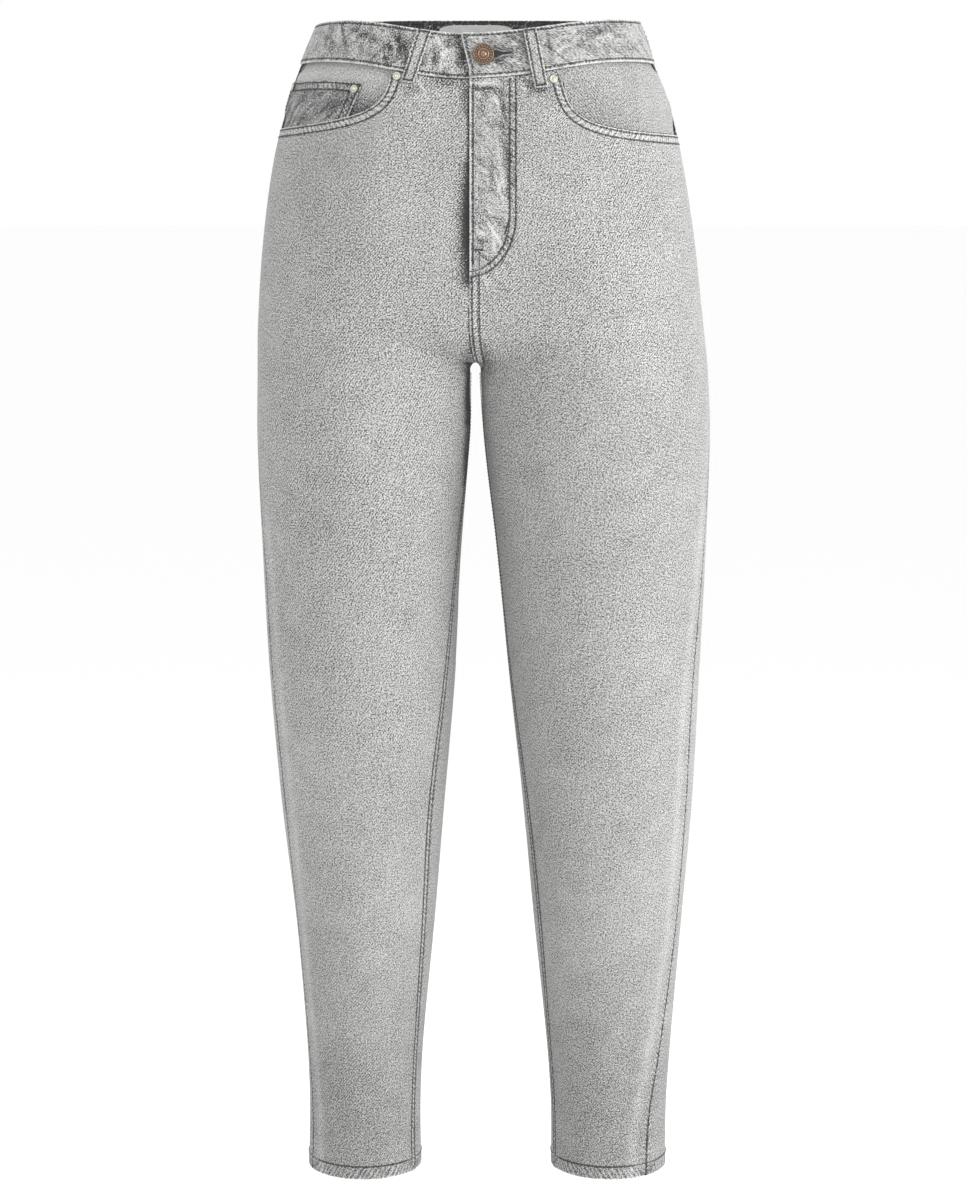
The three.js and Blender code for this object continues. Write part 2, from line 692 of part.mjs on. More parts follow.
// The label inside the band has rounded upper corners
function labelPiece() {
  const columns = 12;
  const rows = 3;
  const cornerPower = 6;
  const sink = bandLift - bandWall - seamGap;
  const at = (lift) => (i, j) => {
    const across = (j / columns) * 2 - 1;
    const top = label.top + label.corner * Math.abs(across) ** cornerPower;
    return backPoint(mix(label.left, label.right, j / columns), mix(top, label.low, i / rows), lift);
  };
  return wall(rows, columns, at(sink), at(sink - label.wall));
}

// Turned metal pieces are set on the cloth with their axis along its normal
function setOnCloth(name, profile, segments, point, normal, finish) {
  const outline = profile.map(([radius, height]) => new THREE.Vector2(radius, height));
  const mesh = addPiece(name, new THREE.LatheGeometry(outline, segments), finish);
  mesh.position.copy(point);
  mesh.quaternion.setFromUnitVectors(new THREE.Vector3(0, 1, 0), normal);
}

function addMetal() {
  const middle = bandDrop / 2;
  const buttonTurn = turnAtX(1, middle, buttonX, "front");
  const button = skin(1, middle, buttonTurn, bandLift + lapRise);
  setOnCloth("button", buttonRise, buttonSides, button, outward(1, middle, buttonTurn), "copper");
  for (const [name, side, x, row, base] of rivets) {
    const turn = turnAtX(side, row, x, "front");
    const lift = base === "coin" ? bearerLift(scoops.right, row, turn) + coin.proud + coinRivetLift : 0;
    setOnCloth(name, rivetRise, rivetSides, skin(side, row, turn, lift), outward(side, row, turn), "brass");
  }
}

addPiece("front_right", frontPanel(scoops.right), "denim");
addPiece("front_left", frontPanel(scoops.left), "denim");
addPiece("back_right", backPanel(-1), "denim");
addPiece("back_left", backPanel(1), "denim");
addPiece("yoke_right", yoke(-1), "denim");
addPiece("yoke_left", yoke(1), "denim");
addPiece("pocket_bearer_right", bearer(scoops.right), "darkDenim");
addPiece("pocket_bearer_left", bearer(scoops.left), "darkDenim");
addPiece("coin_pocket", coinPocket(), "darkDenim");
addPiece("fly", flyPiece(), "denim");
addPiece("waistband", waistband(), "denim");
addPiece("back_pocket_right", backPocketPiece(-1), "denim");
addPiece("back_pocket_left", backPocketPiece(1), "denim");
addPiece("waist_label", labelPiece(), "label");
for (const loop of loopRows) addPiece(loop.name, beltLoop(loop), "denim");
addMetal();

export default jeans;
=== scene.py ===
import math

import bpy
import numpy as np
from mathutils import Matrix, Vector, kdtree


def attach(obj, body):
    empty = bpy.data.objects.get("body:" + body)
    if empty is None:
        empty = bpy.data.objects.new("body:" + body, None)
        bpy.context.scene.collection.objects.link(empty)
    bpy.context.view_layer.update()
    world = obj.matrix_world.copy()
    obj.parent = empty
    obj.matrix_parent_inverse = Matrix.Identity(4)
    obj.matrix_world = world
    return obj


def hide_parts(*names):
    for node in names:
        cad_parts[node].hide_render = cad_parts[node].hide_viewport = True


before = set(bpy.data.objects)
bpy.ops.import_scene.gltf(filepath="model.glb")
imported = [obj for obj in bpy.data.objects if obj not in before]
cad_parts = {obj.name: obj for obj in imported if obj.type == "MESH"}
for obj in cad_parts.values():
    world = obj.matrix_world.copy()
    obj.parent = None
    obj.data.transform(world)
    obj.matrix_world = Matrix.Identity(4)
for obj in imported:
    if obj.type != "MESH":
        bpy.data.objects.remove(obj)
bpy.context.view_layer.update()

# High-rise tapered mom jeans in washed grey denim, filled out as worn.
# Sizes are millimetres until a mesh is made; rows are counted down from the waist edge.

print("form of the garment")
form = {
    "outseam": 984, "bandDrop": 33.5, "crotchDrop": 281,
    "frontDip": 12.4, "dipPower": 3, "bandSpread": 3, "backRise": 8,
    "sideSag": {-1: 1.4, 1: -1.8}, "bandNarrow": {-1: 1.2, 1: -1.7}, "dipFade": 200,
    "denim": 1.4, "seamGap": 0.16, "bandGap": 0.3,
    "centreFront": -9.5, "centreBack": 0, "forkX": -4.5, "forkY": -38,
    "hookHeight": (52, 150), "hookPower": (2.8, 2),  # front and back rise, above the crotch point
    "webFillet": 34, "partedBelow": 150, "slotRound": 4,
    "seamSettled": 350, "foldFade": 60, "hemHeight": 13, "hemExtra": 0.7,
}
outseam, bandDrop, crotchDrop = form["outseam"], form["bandDrop"], form["crotchDrop"]
denim, seamGap = form["denim"], form["seamGap"]

# One row for each level, in plan, as in the garment's cut
levelColumns = (
    "drop outRight inRight inLeft outLeft front back widest fullest sideRight sideLeft innerRight innerLeft"
).split()
levels = np.array([
    [-12, -131, -9, 0, 126.5, -93, 92, 2, 0.3, 0, 0, 0, 0],
    [0, -136.5, -9, 0, 132.5, -96, 95, 2, 0.3, 0, 0, 0, 0],
    [30, -149.5, -9, 0, 143.8, -101, 102, 3, 0.3, 0, 0, 0, 0],
    [63, -161.5, -9, 0, 157.5, -107, 110, 4, 0.31, 0, 0, 0, 0],
    [113, -174.5, -9, 0, 169.5, -113, 123, 6, 0.33, 0, 0, 0, 0],
    [180, -184, -9, 0, 180.5, -116, 135, 8, 0.38, 0, 0, 0, 0],
    [247, -188.5, -9, 0, 188, -113, 131, 6, 0.46, 0, 0, 0, 0],
    [290, -189, -9, 0, 192.5, -107, 119, 4, 0.5, 0.03, 0.03, 0, 0],
    [350, -189, -10, 4, 194.5, -101, 107, 2, 0.5, 0.1, 0.1, 0.08, 0.03],
    [450, -184.5, -17.5, 14.5, 191.5, -92, 95, 1, 0.5, 0.18, 0.18, 0.16, 0.06],
    [555, -179.5, -22.5, 24.5, 187, -82, 86, 2, 0.5, 0.2, 0.27, 0.27, 0.09],
    [660, -171.5, -31.5, 36, 182, -71, 80, 4, 0.5, 0.23, 0.28, 0.34, 0.15],
    [766, -160, -40.3, 46, 173.7, -60, 75, 7, 0.5, 0.18, 0.28, 0.32, 0.2],
    [872, -152, -50.3, 57, 165.5, -50, 70, 10, 0.5, 0.2, 0.42, 0.28, 0.16],
    [930, -150, -53, 61, 162, -46, 67, 11, 0.5, 0.25, 0.54, 0.28, 0.16],
    [984, -151, -52.6, 61.5, 161.5, -44, 66, 11, 0.5, 0.27, 0.58, 0.29, 0.17],
])
level = {name: levels[:, k] for k, name in enumerate(levelColumns)}
sideName = {-1: "Right", 1: "Left"}

# Soft folds: side, drop, turn, depth, height, width, climb
folds = [
    (-1, 322, 0.62, -2.2, 70, 0.3, 60), (1, 330, 0.55, -2.4, 75, 0.28, 70),
    (-1, 560, 3.1, -3.0, 60, 0.6, 25), (1, 575, 3.0, -3.0, 64, 0.6, -20),
    (-1, 250, 3.5, -2.4, 55, 0.4, -60), (1, 255, 3.45, -2.6, 58, 0.4, -60),
    (-1, 900, 2.9, -2.2, 50, 0.5, 20), (1, 915, 3.0, -2.2, 50, 0.5, -20),
    (-1, 470, 1.86, 1.8, 190, 0.16, 0), (1, 640, 0.3, -1.6, 160, 0.2, 0),
]

roundHandle = 0.5523  # a quarter arc's control handle as a share of its radius
probe, probeTurn = 0.8, 0.01


def mix(a, b, share):
    return a + (b - a) * share


def ease(value, low, high):
    s = np.clip((value - low) / (high - low), 0, 1)
    return s * s * (3 - 2 * s)


def levelValue(drop, column):
    drops, values = level["drop"], level[column]
    last = len(drops) - 1
    before, after = np.maximum(np.arange(last + 1) - 1, 0), np.minimum(np.arange(last + 1) + 1, last)
    slopes = (values[after] - values[before]) / (drops[after] - drops[before])
    k = np.clip(np.searchsorted(drops, drop) - 1, 0, last - 1)
    span = drops[k + 1] - drops[k]
    s = np.clip((drop - drops[k]) / span, 0, 1)
    return (
        values[k] * (2 * s**3 - 3 * s**2 + 1) + values[k + 1] * (3 * s**2 - 2 * s**3)
        + span * slopes[k] * (s**3 - 2 * s**2 + s) + span * slopes[k + 1] * (s**3 - s**2)
    )


def riseShare(drop, front):
    height = np.where(front, *form["hookHeight"])
    return np.clip((drop - crotchDrop) / height + 1, 0, 1)


# The inner end of a half section: the centre seam above the crotch, the inner leg below it
def innerEnd(side, drop, front):
    top = np.where(front, form["centreFront"], form["centreBack"])
    seamX = mix(top, form["forkX"], riseShare(drop, front) ** 3) + side * seamGap / 2
    legX = levelValue(drop, "in" + sideName[side])
    parting = ease(drop, crotchDrop, crotchDrop + form["partedBelow"])
    parted = np.sqrt(np.clip((drop - crotchDrop) / form["slotRound"], 0, 1))
    y = mix(form["forkY"], levelValue(drop, "widest"), parting)
    return mix(seamX, legX, parted), y, mix(seamX, legX, parting)


# Between the fullest lines the cloth follows the thigh or the web between the thighs, whichever is outermost
def turnedUnder(share, front, toSeam, aside, depth):
    power = np.where(front, *form["hookPower"])
    thigh = depth * (1 - np.sqrt(1 - toSeam**2))
    web = depth * (1 - (1 - share**power) ** (1 / power))
    fillet = form["webFillet"] * np.sin(np.pi * share) * (1 - aside)
    near = np.maximum(fillet - np.abs(thigh - web), 0)
    return np.minimum(thigh, web) - near * near / (4 * np.maximum(fillet, 1e-6))


def bezier(a, b, c, d, s):
    r = 1 - s
    return a * r**3 + 3 * b * r * r * s + 3 * c * r * s * s + d * s**3


# A point of one half's section in plan. The turn runs 0 to 4: inner front, fullest front, side,
# fullest back, inner back, and on a leg it runs on round.
def sectionPoint(side, drop, turn):
    onLeg = drop > crotchDrop
    q = np.where(onLeg, np.mod(turn, 4), np.clip(turn, 0, 4))
    front = q <= 2
    endX, endY, middleX = innerEnd(side, drop, front)
    out, widest = levelValue(drop, "out" + sideName[side]), levelValue(drop, "widest")
    fullX = mix(middleX, out, levelValue(drop, "fullest"))
    fullY = np.where(front, levelValue(drop, "front"), levelValue(drop, "back"))
    fromMiddle = np.where(front, q, 4 - q)
    inner, outer = np.clip(fromMiddle, 0, 1), np.clip(fromMiddle - 1, 0, 1)
    share = np.where(onLeg, 1, riseShare(drop, front))
    along = roundHandle * (fullX - middleX)
    flatX = bezier(middleX, middleX + along, fullX - along, fullX, inner)
    roundX = bezier(middleX, middleX, fullX - along, fullX, inner)
    innerX = mix(flatX, roundX, ease(share, 0, 1))
    toSeam = np.clip((fullX - innerX) / (fullX - middleX), 0, 1)
    depth = np.abs(endY - fullY)
    innerY = fullY + np.sign(endY - fullY) * turnedUnder(share, front, toSeam, inner, depth)
    innerX = innerX + (endX - middleX) * (1 - inner) ** 3
    outerX = bezier(fullX, fullX + roundHandle * (out - fullX), out, out, outer)
    outerY = bezier(fullY, fullY, widest + roundHandle * (fullY - widest), widest, outer)
    x, y = np.where(fromMiddle <= 1, innerX, outerX), np.where(fromMiddle <= 1, innerY, outerY)
    facing = np.clip((y - widest) / (fullY - widest), 0, 1)
    return x, y, out, endX, facing, front


# The waist edge dips at the front and rises at the back, and the rows below follow it less and less
def waistShift(side, row, turn):
    x, _, out, endX, facing, front = sectionPoint(side, row, turn)
    c = np.clip(np.abs((x - endX) / (out - endX)), 0, 1)
    dip = (form["frontDip"] + form["bandSpread"] * ease(row, 0, bandDrop)) * (1 - c * c) ** form["dipPower"]
    shift = np.where(front, dip, -form["backRise"] * facing)
    atSide = (form["sideSag"][side] - form["bandNarrow"][side] * ease(row, 0, bandDrop)) * c**6
    return (shift + atSide) * (1 - ease(row, bandDrop, form["dipFade"]))


def barePoint(side, row, turn):
    row, turn = np.broadcast_arrays(np.asarray(row, float), np.asarray(turn, float))
    drop = row + waistShift(side, row, turn)
    x, y = sectionPoint(side, drop, turn)[:2]
    return np.stack([x, y, -drop], -1)


def outward(side, row, turn):
    row, turn = np.broadcast_arrays(np.asarray(row, float), np.asarray(turn, float))
    low, high = np.where(row < crotchDrop, 0, -9), np.where(row < crotchDrop, 4, 9)
    ahead = barePoint(side, row, np.clip(turn + probeTurn, low, high))
    behind = barePoint(side, row, np.clip(turn - probeTurn, low, high))
    down = barePoint(side, row + probe, turn) - barePoint(side, row - probe, turn)
    normal = np.cross(ahead - behind, down) * -side
    return normal / np.linalg.norm(normal, axis=-1, keepdims=True)


def foldLift(side, drop, turn):
    lift = 0
    for where, level_, place, depth, height, width, climb in folds:
        if where == side:
            across = (turn - place) / width
            along = (drop - level_ + climb * (turn - place)) / height
            lift = lift + depth * np.exp(-(across**2 + along**2))
    return lift


def skin(side, row, turn, lift=0):
    row, turn = np.broadcast_arrays(np.asarray(row, float), np.asarray(turn, float))
    folded = foldLift(side, row, np.mod(turn, 4)) * ease(row, bandDrop, bandDrop + form["foldFade"])
    reach = lift + folded * (1 - ease(row, outseam - form["foldFade"], outseam))
    return barePoint(side, row, turn) + outward(side, row, turn) * np.asarray(reach)[..., None]


def stepTurn(side, row, turn, length):
    ahead = np.sign(length) * probeTurn * 0.2
    reached = turn + 0.0 * row
    for _ in range(5):
        moved = np.linalg.norm(barePoint(side, row, reached) - barePoint(side, row, reached + ahead), axis=-1)
        reached = reached + ahead * np.abs(length) / 5 / np.maximum(moved, 1e-4)
    return reached


# The turn at which a half of the front or back reaches x, above the crotch
def turnAtX(side, row, x, face):
    row, x = np.broadcast_arrays(np.asarray(row, float), np.asarray(x, float))
    low, high = np.full(row.shape, 0.0 if face == "front" else 4.0), np.full(row.shape, 2.0)
    for _ in range(26):
        middle = (low + high) / 2
        reached = barePoint(side, row, middle)[..., 0] * side >= x * side
        low, high = np.where(reached, low, middle), np.where(reached, middle, high)
    return (low + high) / 2


def pickSide(side, right, left):
    return np.where((np.asarray(side) < 0)[..., None], right, left)


# Place and outward direction at x and row of the front or back
def facePoint(x, row, lift, face):
    middle = form["centreFront"] if face == "front" else form["centreBack"]
    side = np.where(np.asarray(x, float) < middle, -1, 1)
    found = [skin(s, row, turnAtX(s, row, x, face), lift) for s in (-1, 1)]
    return pickSide(side, *found)


def faceNormal(x, row, face):
    middle = form["centreFront"] if face == "front" else form["centreBack"]
    side = np.where(np.asarray(x, float) < middle, -1, 1)
    found = [outward(s, row, turnAtX(s, row, x, face)) for s in (-1, 1)]
    return pickSide(side, *found)


print("camera and light")
view = {"place": (0.0021, -2.700, -0.150), "target": (0.0021, 0, -0.486), "lens": 95.34, "sensor": 36}
studio = {
    "floorDrop": 1.5, "floorSize": 400, "floorColour": (0.98, 0.98, 0.98, 1), "sky": 1.0,
    "lamps": [
        # name, place, size, watts
        ("key_light", (2.3, -1.3, 0.5), 1.4, 52),
        ("top_light", (-0.2, -1.6, 2.2), 1.2, 9),
        ("back_light", (0.3, 2.4, 1.2), 2.0, 30),
    ],
}


def aimAt(thing, target):
    thing.rotation_euler = (Vector(target) - thing.location).to_track_quat("-Z", "Y").to_euler()


def makeCamera():
    camera = bpy.data.objects.new("camera", bpy.data.cameras.new("camera"))
    camera.data.lens = view["lens"]
    camera.data.sensor_fit = "VERTICAL"
    camera.data.sensor_height = view["sensor"]
    camera.location = view["place"]
    aimAt(camera, view["target"])
    bpy.context.collection.objects.link(camera)
    bpy.context.scene.camera = camera


def makeStudio():
    scene = bpy.context.scene
    scene.view_settings.view_transform = "Standard"
    world = bpy.data.worlds.new("studio")
    world.use_nodes = True
    world.node_tree.nodes["Background"].inputs["Strength"].default_value = studio["sky"]
    world.node_tree.nodes["Background"].inputs["Color"].default_value = (1, 1, 1, 1)
    scene.world = world
    for name, place, size, watts in studio["lamps"]:
        lamp = bpy.data.objects.new(name, bpy.data.lights.new(name, "AREA"))
        lamp.data.size = size
        lamp.data.energy = watts
        lamp.location = place
        aimAt(lamp, (0, 0, -0.5))
        bpy.context.collection.objects.link(lamp)


print("meshes")
closeSteps = np.array([0, 0.25, 0.7, 1.5, 3.0])  # distances from an edge of the first grid lines


# Distances along a length, closer together at both ends
def spread(length, count):
    middle = np.linspace(closeSteps[-1], length - closeSteps[-1], count + 3 - 2 * len(closeSteps))
    return np.concatenate([closeSteps[:-1], middle, length - closeSteps[-2::-1]])


# Turns that lie evenly by length along each row, and the lengths reached
def turnsAcross(side, rows, starts, ends, count):
    shares = np.linspace(0, 1, 240)
    turns = mix(starts[:, None], ends[:, None], shares)
    points = barePoint(side, rows[:, None], turns)
    reached = lengthsAlong(points)
    lengths = np.array([spread(r[-1], count) for r in reached])
    found = [np.interp(want, r, t) for want, r, t in zip(lengths, reached, turns)]
    return np.array(found), lengths


def lengthsAlong(points):
    steps = np.linalg.norm(np.diff(points, axis=1), axis=-1)
    return np.concatenate([np.zeros((len(points), 1)), np.cumsum(steps, 1)], 1)


# How much a layer's face falls towards a folded edge, at a distance from it, as shares of its thickness
edgeReach, edgeDrop = 0.5, 0.36


def edgeFall(distance, thickness):
    near = np.clip(1 - distance / (thickness * edgeReach), 0, 1)
    return thickness * edgeDrop * (1 - np.sqrt(1 - near**2))


def gridDistances(lengths, rows):
    fromTop = np.abs(rows - rows[:1])
    fromEnd = np.abs(rows - rows[-1:])
    return np.minimum.reduce([lengths, lengths[:, -1:] - lengths, fromTop, fromEnd])


def wallFaces(rows, columns):
    index = np.arange(rows * columns).reshape(rows, columns)
    a, b, c, d = index[:-1, :-1], index[1:, :-1], index[1:, 1:], index[:-1, 1:]
    outer = np.stack([a, b, c, d], -1).reshape(-1, 4)
    inner = np.stack([a, d, c, b], -1).reshape(-1, 4) + rows * columns
    ring = np.concatenate([index[0, :-1], index[:-1, -1], index[-1, :0:-1], index[:0:-1, 0]])
    rest = np.roll(ring, -1)
    rim = np.stack([ring, rest, rest + rows * columns, ring + rows * columns], -1)
    return np.concatenate([outer, inner, rim])


def signedVolume(points, quads):
    a, b, c, d = (points[quads[:, k]] for k in range(4))
    return (np.einsum("ij,ij->i", a, np.cross(b, c)) + np.einsum("ij,ij->i", a, np.cross(c, d))).sum()


def makeMesh(name, points, faces, material):
    mesh = bpy.data.meshes.new(name)
    mesh.from_pydata((points / 1000).tolist(), [], faces)
    mesh.materials.append(material)
    mesh.shade_smooth()
    mesh.set_sharp_from_angle(angle=math.radians(62))
    piece = bpy.data.objects.new(name, mesh)
    bpy.context.collection.objects.link(piece)
    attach(piece, "root")
    return piece


def keep(mesh, name, values):
    kind = "FLOAT" if values.ndim == 1 else "FLOAT_VECTOR"
    layer = mesh.attributes.new(name, kind, "POINT")
    layer.data.foreach_set("value" if kind == "FLOAT" else "vector", values.astype(np.float32).ravel())


noLine = -9
# How a seam shows on the cloth beside it: puckers, paleness of the edge (worn paler above zero, painted shadow
# beside the edge below zero), their reach, and lines of stitches
seamLooks = {
    "pocketEdge": (0.8, 1.0, 9.5, 1.9, 7.6), "patchEdge": (0.8, 0.9, 9, 1.6, 7.6),
    "hem": (0.6, 0.8, 12, 11.5), "outseam": (0.5, -0.9, 5), "inseam": (0.5, 0.15, 7.5, 1.8, 6.4),
    "bandSeam": (0.4, -1.0, 5),
    "bandEdge": (0.5, 1.0, 4, 2.5), "flyEdge": (0.4, 1.0, 4, 2.8), "flyCurve": (0.35, -0.2, 8, 1.2, 6.2),
    "loopEdge": (0.5, 0.4, 3, 2.1), "rise": (0.5, 0.6, 8, 1.8, 7.4), "riseUnder": (0.2, -0.9, 3),
    "yokeEdge": (0.8, 0.8, 8, 1.8, 7.4), "yokeUnder": (0.3, -0.7, 4),
    "shadow": (0, -0.9, 1), "plain": (0, 0, 1),
}
sampleStep, sewnOn = 0.7, 0.36  # between samples of a seam, and how near counts as on it


# Distance to the nearest seam, the length along it, and its look, for every point
def seamFields(points, seams):
    lines, alongs, looks = [], [], []
    for line, kind in seams:
        reached = np.concatenate([[0], np.cumsum(np.linalg.norm(np.diff(line, axis=0), axis=1))])
        wanted = np.linspace(0, reached[-1], max(2, int(reached[-1] / sampleStep)))
        lines.append(np.stack([np.interp(wanted, reached, line[:, k]) for k in range(3)], 1))
        alongs.append(wanted)
        look = (seamLooks[kind] + (noLine, noLine))[:5]
        looks.append(np.tile(look, (len(wanted), 1)))
    samples, alongs, looks = np.concatenate(lines), np.concatenate(alongs), np.concatenate(looks)
    tree = kdtree.KDTree(len(samples))
    for k, place in enumerate(samples):
        tree.insert(place, k)
    tree.balance()
    nearest = np.array([tree.find(p)[1] for p in points])
    away = np.linalg.norm(points - samples[nearest], axis=1)
    away = np.where(away < sewnOn, 0, away)
    return np.stack([away, alongs[nearest], 0 * away], 1), looks[nearest]


def clothPiece(node, outer, inner, cloth, tone, seams, finish, innerShade=-0.1):
    rows, columns = outer.shape[:2]
    points = np.concatenate([outer.reshape(-1, 3), inner.reshape(-1, 3)])
    faces = wallFaces(rows, columns)
    if signedVolume(points, faces) < 0:
        faces = faces[:, ::-1]
    piece = makeMesh(node + "_cloth", points, faces.tolist(), finishes[finish])
    seam, look = seamFields(points, seams)
    keep(piece.data, "seam", seam)
    keep(piece.data, "sewing", look[:, :3])
    keep(piece.data, "lines", look[:, 2:])
    within = np.repeat([0.0, 1.0], rows * columns)
    keep(piece.data, "cloth", np.column_stack([np.tile(cloth.reshape(-1, 2), (2, 1)), within]))
    shade = np.broadcast_to(tone, (rows, columns)).ravel()
    # the inner face is painted darker: painted shade inside the garment
    keep(piece.data, "tone", np.concatenate([shade, 0 * shade + innerShade]))
    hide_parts(node)
    return piece


print("materials")


class Wire:
    # one output socket of a material; sums on it add Math nodes
    def __init__(self, paint, socket):
        self.paint, self.socket = paint, socket

    def maths(self, operation, first, second=0.0):
        return self.paint.node("Math", {"operation": operation}, {0: first, 1: second})

    def __add__(self, other):
        return self.maths("ADD", self, other)

    def __sub__(self, other):
        return self.maths("SUBTRACT", self, other)

    def __rsub__(self, other):
        return self.maths("SUBTRACT", other, self)

    def __mul__(self, other):
        return self.maths("MULTIPLY", self, other)

    __radd__, __rmul__ = __add__, __mul__

    def sine(self):
        return self.maths("SINE", self)

    def size(self):
        return self.maths("ABSOLUTE", self)

    def least(self, other):
        return self.maths("MINIMUM", self, other)

    def most(self, other):
        return self.maths("MAXIMUM", self, other)


class Paint:
    # one material and its nodes
    def __init__(self, name):
        self.material = bpy.data.materials.new(name)
        self.material.use_nodes = True
        self.tree = self.material.node_tree
        self.tree.nodes.clear()

    def node(self, kind, settings, sockets, out=0):
        made = self.tree.nodes.new("ShaderNode" + kind)
        for key, value in settings.items():
            if key == "stops":
                for k, (place, colour) in enumerate(value):
                    stop = made.color_ramp.elements[k] if k < 2 else made.color_ramp.elements.new(place)
                    stop.position, stop.color = place, colour
            else:
                setattr(made, key, value)
        for key, value in sockets.items():
            if isinstance(value, Wire):
                self.tree.links.new(value.socket, made.inputs[key])
            else:
                made.inputs[key].default_value = value
        return Wire(self, made.outputs[out]) if len(made.outputs) else made

    def vector(self, name):
        return self.node("Attribute", {"attribute_name": name}, {}, out="Vector")

    def number(self, name):
        return self.node("Attribute", {"attribute_name": name}, {}, out="Fac")

    def parts(self, vector):
        made = self.tree.nodes.new("ShaderNodeSeparateXYZ")
        self.tree.links.new(vector.socket, made.inputs[0])
        return [Wire(self, made.outputs[k]) for k in range(3)]

    def point(self, x, y, z=0.0):
        return self.node("CombineXYZ", {}, {0: x, 1: y, 2: z})

    def noise(self, where, scale, detail=2.0, rough=0.55, twist=0.0):
        return self.node("TexNoise", {}, {
            "Vector": where, "Scale": scale, "Detail": detail, "Roughness": rough, "Distortion": twist,
        })

    def step(self, value, low, high):
        settings = {"interpolation_type": "SMOOTHSTEP"}
        return self.node("MapRange", settings, {0: value, 1: low, 2: high, 3: 0.0, 4: 1.0})

    def blend(self, share, a, b):
        return self.node("Mix", {"data_type": "RGBA"}, {0: share, 6: a, 7: b}, out=2)

    def bump(self, height, strength, distance):
        return self.node("Bump", {}, {"Height": height, "Strength": strength, "Distance": distance})

    def finish(self, sockets):
        shader = self.node("BsdfPrincipled", {}, sockets)
        self.node("OutputMaterial", {}, {"Surface": shader})
        return self.material


denimLook = {
    "pale": (0.64, 0.64, 0.625, 1), "middle": (0.36, 0.36, 0.354, 1), "dark": (0.045, 0.046, 0.046, 1),
    "level": 0.46, "grain": 1.0, "twillPitch": 1.9, "twill": 0.11, "marble": 0.0, "veins": 0.0, "tone": 0.5,
    "speck": 2.3, "warp": 0.35, "broad": 0.22, "cloud": 0.2, "pucker": 0.42, "wornEdgeAndShadow": 0.5, "groove": 0.32,
    "between": 0.12, "puckerPitch": 4.4, "twillRows": (250, 700), "grainRows": (150, 900),
}
# How much of each stands up from the cloth
denimRelief = {
    "twill": 0.03, "slub": 0.15, "speck": 0.1, "pucker": 0.55, "streaks": 1.2, "groove": 0.35,
    "between": 0.15,
}


# Stonewashed denim: twill, slubs, a cloudy wash, pale worn edges and puckered seams, with painted shade beside
# overlapping edges, along the stitch lines and from the tone
def makeDenim(name, changes=None):
    look, relief = {**denimLook, **(changes or {})}, denimRelief
    paint = Paint(name)
    u, v, within = paint.parts(paint.vector("cloth"))
    away, along, _ = paint.parts(paint.vector("seam"))
    puckers, edge, reach = paint.parts(paint.vector("sewing"))
    _, first, second = paint.parts(paint.vector("lines"))
    tone = paint.number("tone")

    flat = paint.point(u, v, within * 50)
    broad = paint.noise(flat, 0.011, 3, 0.6)
    cloud = paint.noise(flat, 0.05, 3, 0.6)
    slub = paint.noise(paint.point((u + v * 0.45) * 0.9, (v - u * 0.45) * 0.34, within), 1.0, 2, 0.6) - 0.5
    warp = paint.noise(paint.point(u * 0.7, v * 0.05, within), 1.0, 2, 0.6) - 0.5
    speck = paint.noise(flat, 0.85, 1, 0.6) - 0.5
    wobble = paint.noise(flat, 0.09, 2)
    ribs = ((u * 0.74 - v * 0.67 + wobble * 1.8) * (2 * math.pi / look["twillPitch"])).sine()
    lessBelow = 1.5 - paint.step(v, *look["twillRows"])
    shown = paint.step(paint.noise(flat, 0.03, 2), 0.3, 0.6) * lessBelow + 0.35

    # along and beside the seams
    uneven = paint.noise(paint.point(along * 0.06, away * 0.04, within), 1.0, 2)
    crumple = paint.noise(paint.point(along * 0.3, (away + along * 0.4) * 0.12, within), 1.0, 2)
    phase = (along + away * 0.6) * (2 * math.pi / look["puckerPitch"]) + uneven * 14 + crumple * 3
    inReach = 1 - paint.step(away, reach * 0.7, reach)
    waves = (phase.sine() * 1.4).least(1).most(-1) * 0.8 + (crumple - 0.5) * 2.4
    # the puckers' crests are paler and their hollows darker, partly wash wear and partly painted light and shade
    pucker = waves * inReach * puckers * (uneven * 2.2 - 0.35).most(0.2)
    # pale worn edges where the seam's edge value is above zero, painted shadow beside the edge where it is below
    # zero
    wornEdgeAndShadow = (1 - paint.step(away, 0.8, 1.7)) * edge * (paint.step(uneven, 0.4, 0.6) * 0.9 + 0.5)
    # the stitch lines dip a little, and the colour along them is painted shade in those hollows
    nearFirst, nearSecond = (1 - paint.step((away - line).size(), 0.4, 1.2) for line in (first, second))
    groove = nearFirst + nearSecond
    between = paint.step(away, first + 0.6, first + 1.6) * (1 - paint.step(away, second - 1.4, second - 0.6))

    fading = 1.3 - paint.step(v, *look["grainRows"]) * 0.5
    grain = (slub + speck * look["speck"] + warp * look["warp"]) * fading + ribs * shown * look["twill"]
    wash = (broad - 0.5) * look["broad"] + (cloud - 0.5) * look["cloud"]
    marbled = paint.noise(paint.point((u + v) * 0.05, (v - u) * 0.1, 3.0), 1.0, 3, 0.55, 0.8) - 0.5
    veins = (1 - marbled.size() * 22).most(0)
    streaks = marbled * look["marble"] + veins * look["veins"]
    light = (
        look["level"] + grain * look["grain"] + wash + streaks + pucker * look["pucker"]
        + wornEdgeAndShadow * look["wornEdgeAndShadow"] - groove * look["groove"] + between * edge * look["between"]
        + tone * look["tone"]
    )
    colour = paint.node("ValToRGB", {"stops": [
        (0.0, look["dark"]), (1.0, look["pale"]), (0.5, look["middle"]),
    ]}, {"Fac": light})
    height = (
        ribs * relief["twill"] + slub * relief["slub"] + speck * relief["speck"] + pucker * relief["pucker"]
        + streaks * relief["streaks"] - groove * relief["groove"] + between * relief["between"]
    )
    return paint.finish({
        "Base Color": colour, "Roughness": 0.9 - light * 0.08, "Normal": paint.bump(height, 0.8, 0.001),
        "Specular IOR Level": 0.18, "Sheen Weight": 0.1, "Sheen Roughness": 0.5,
    })


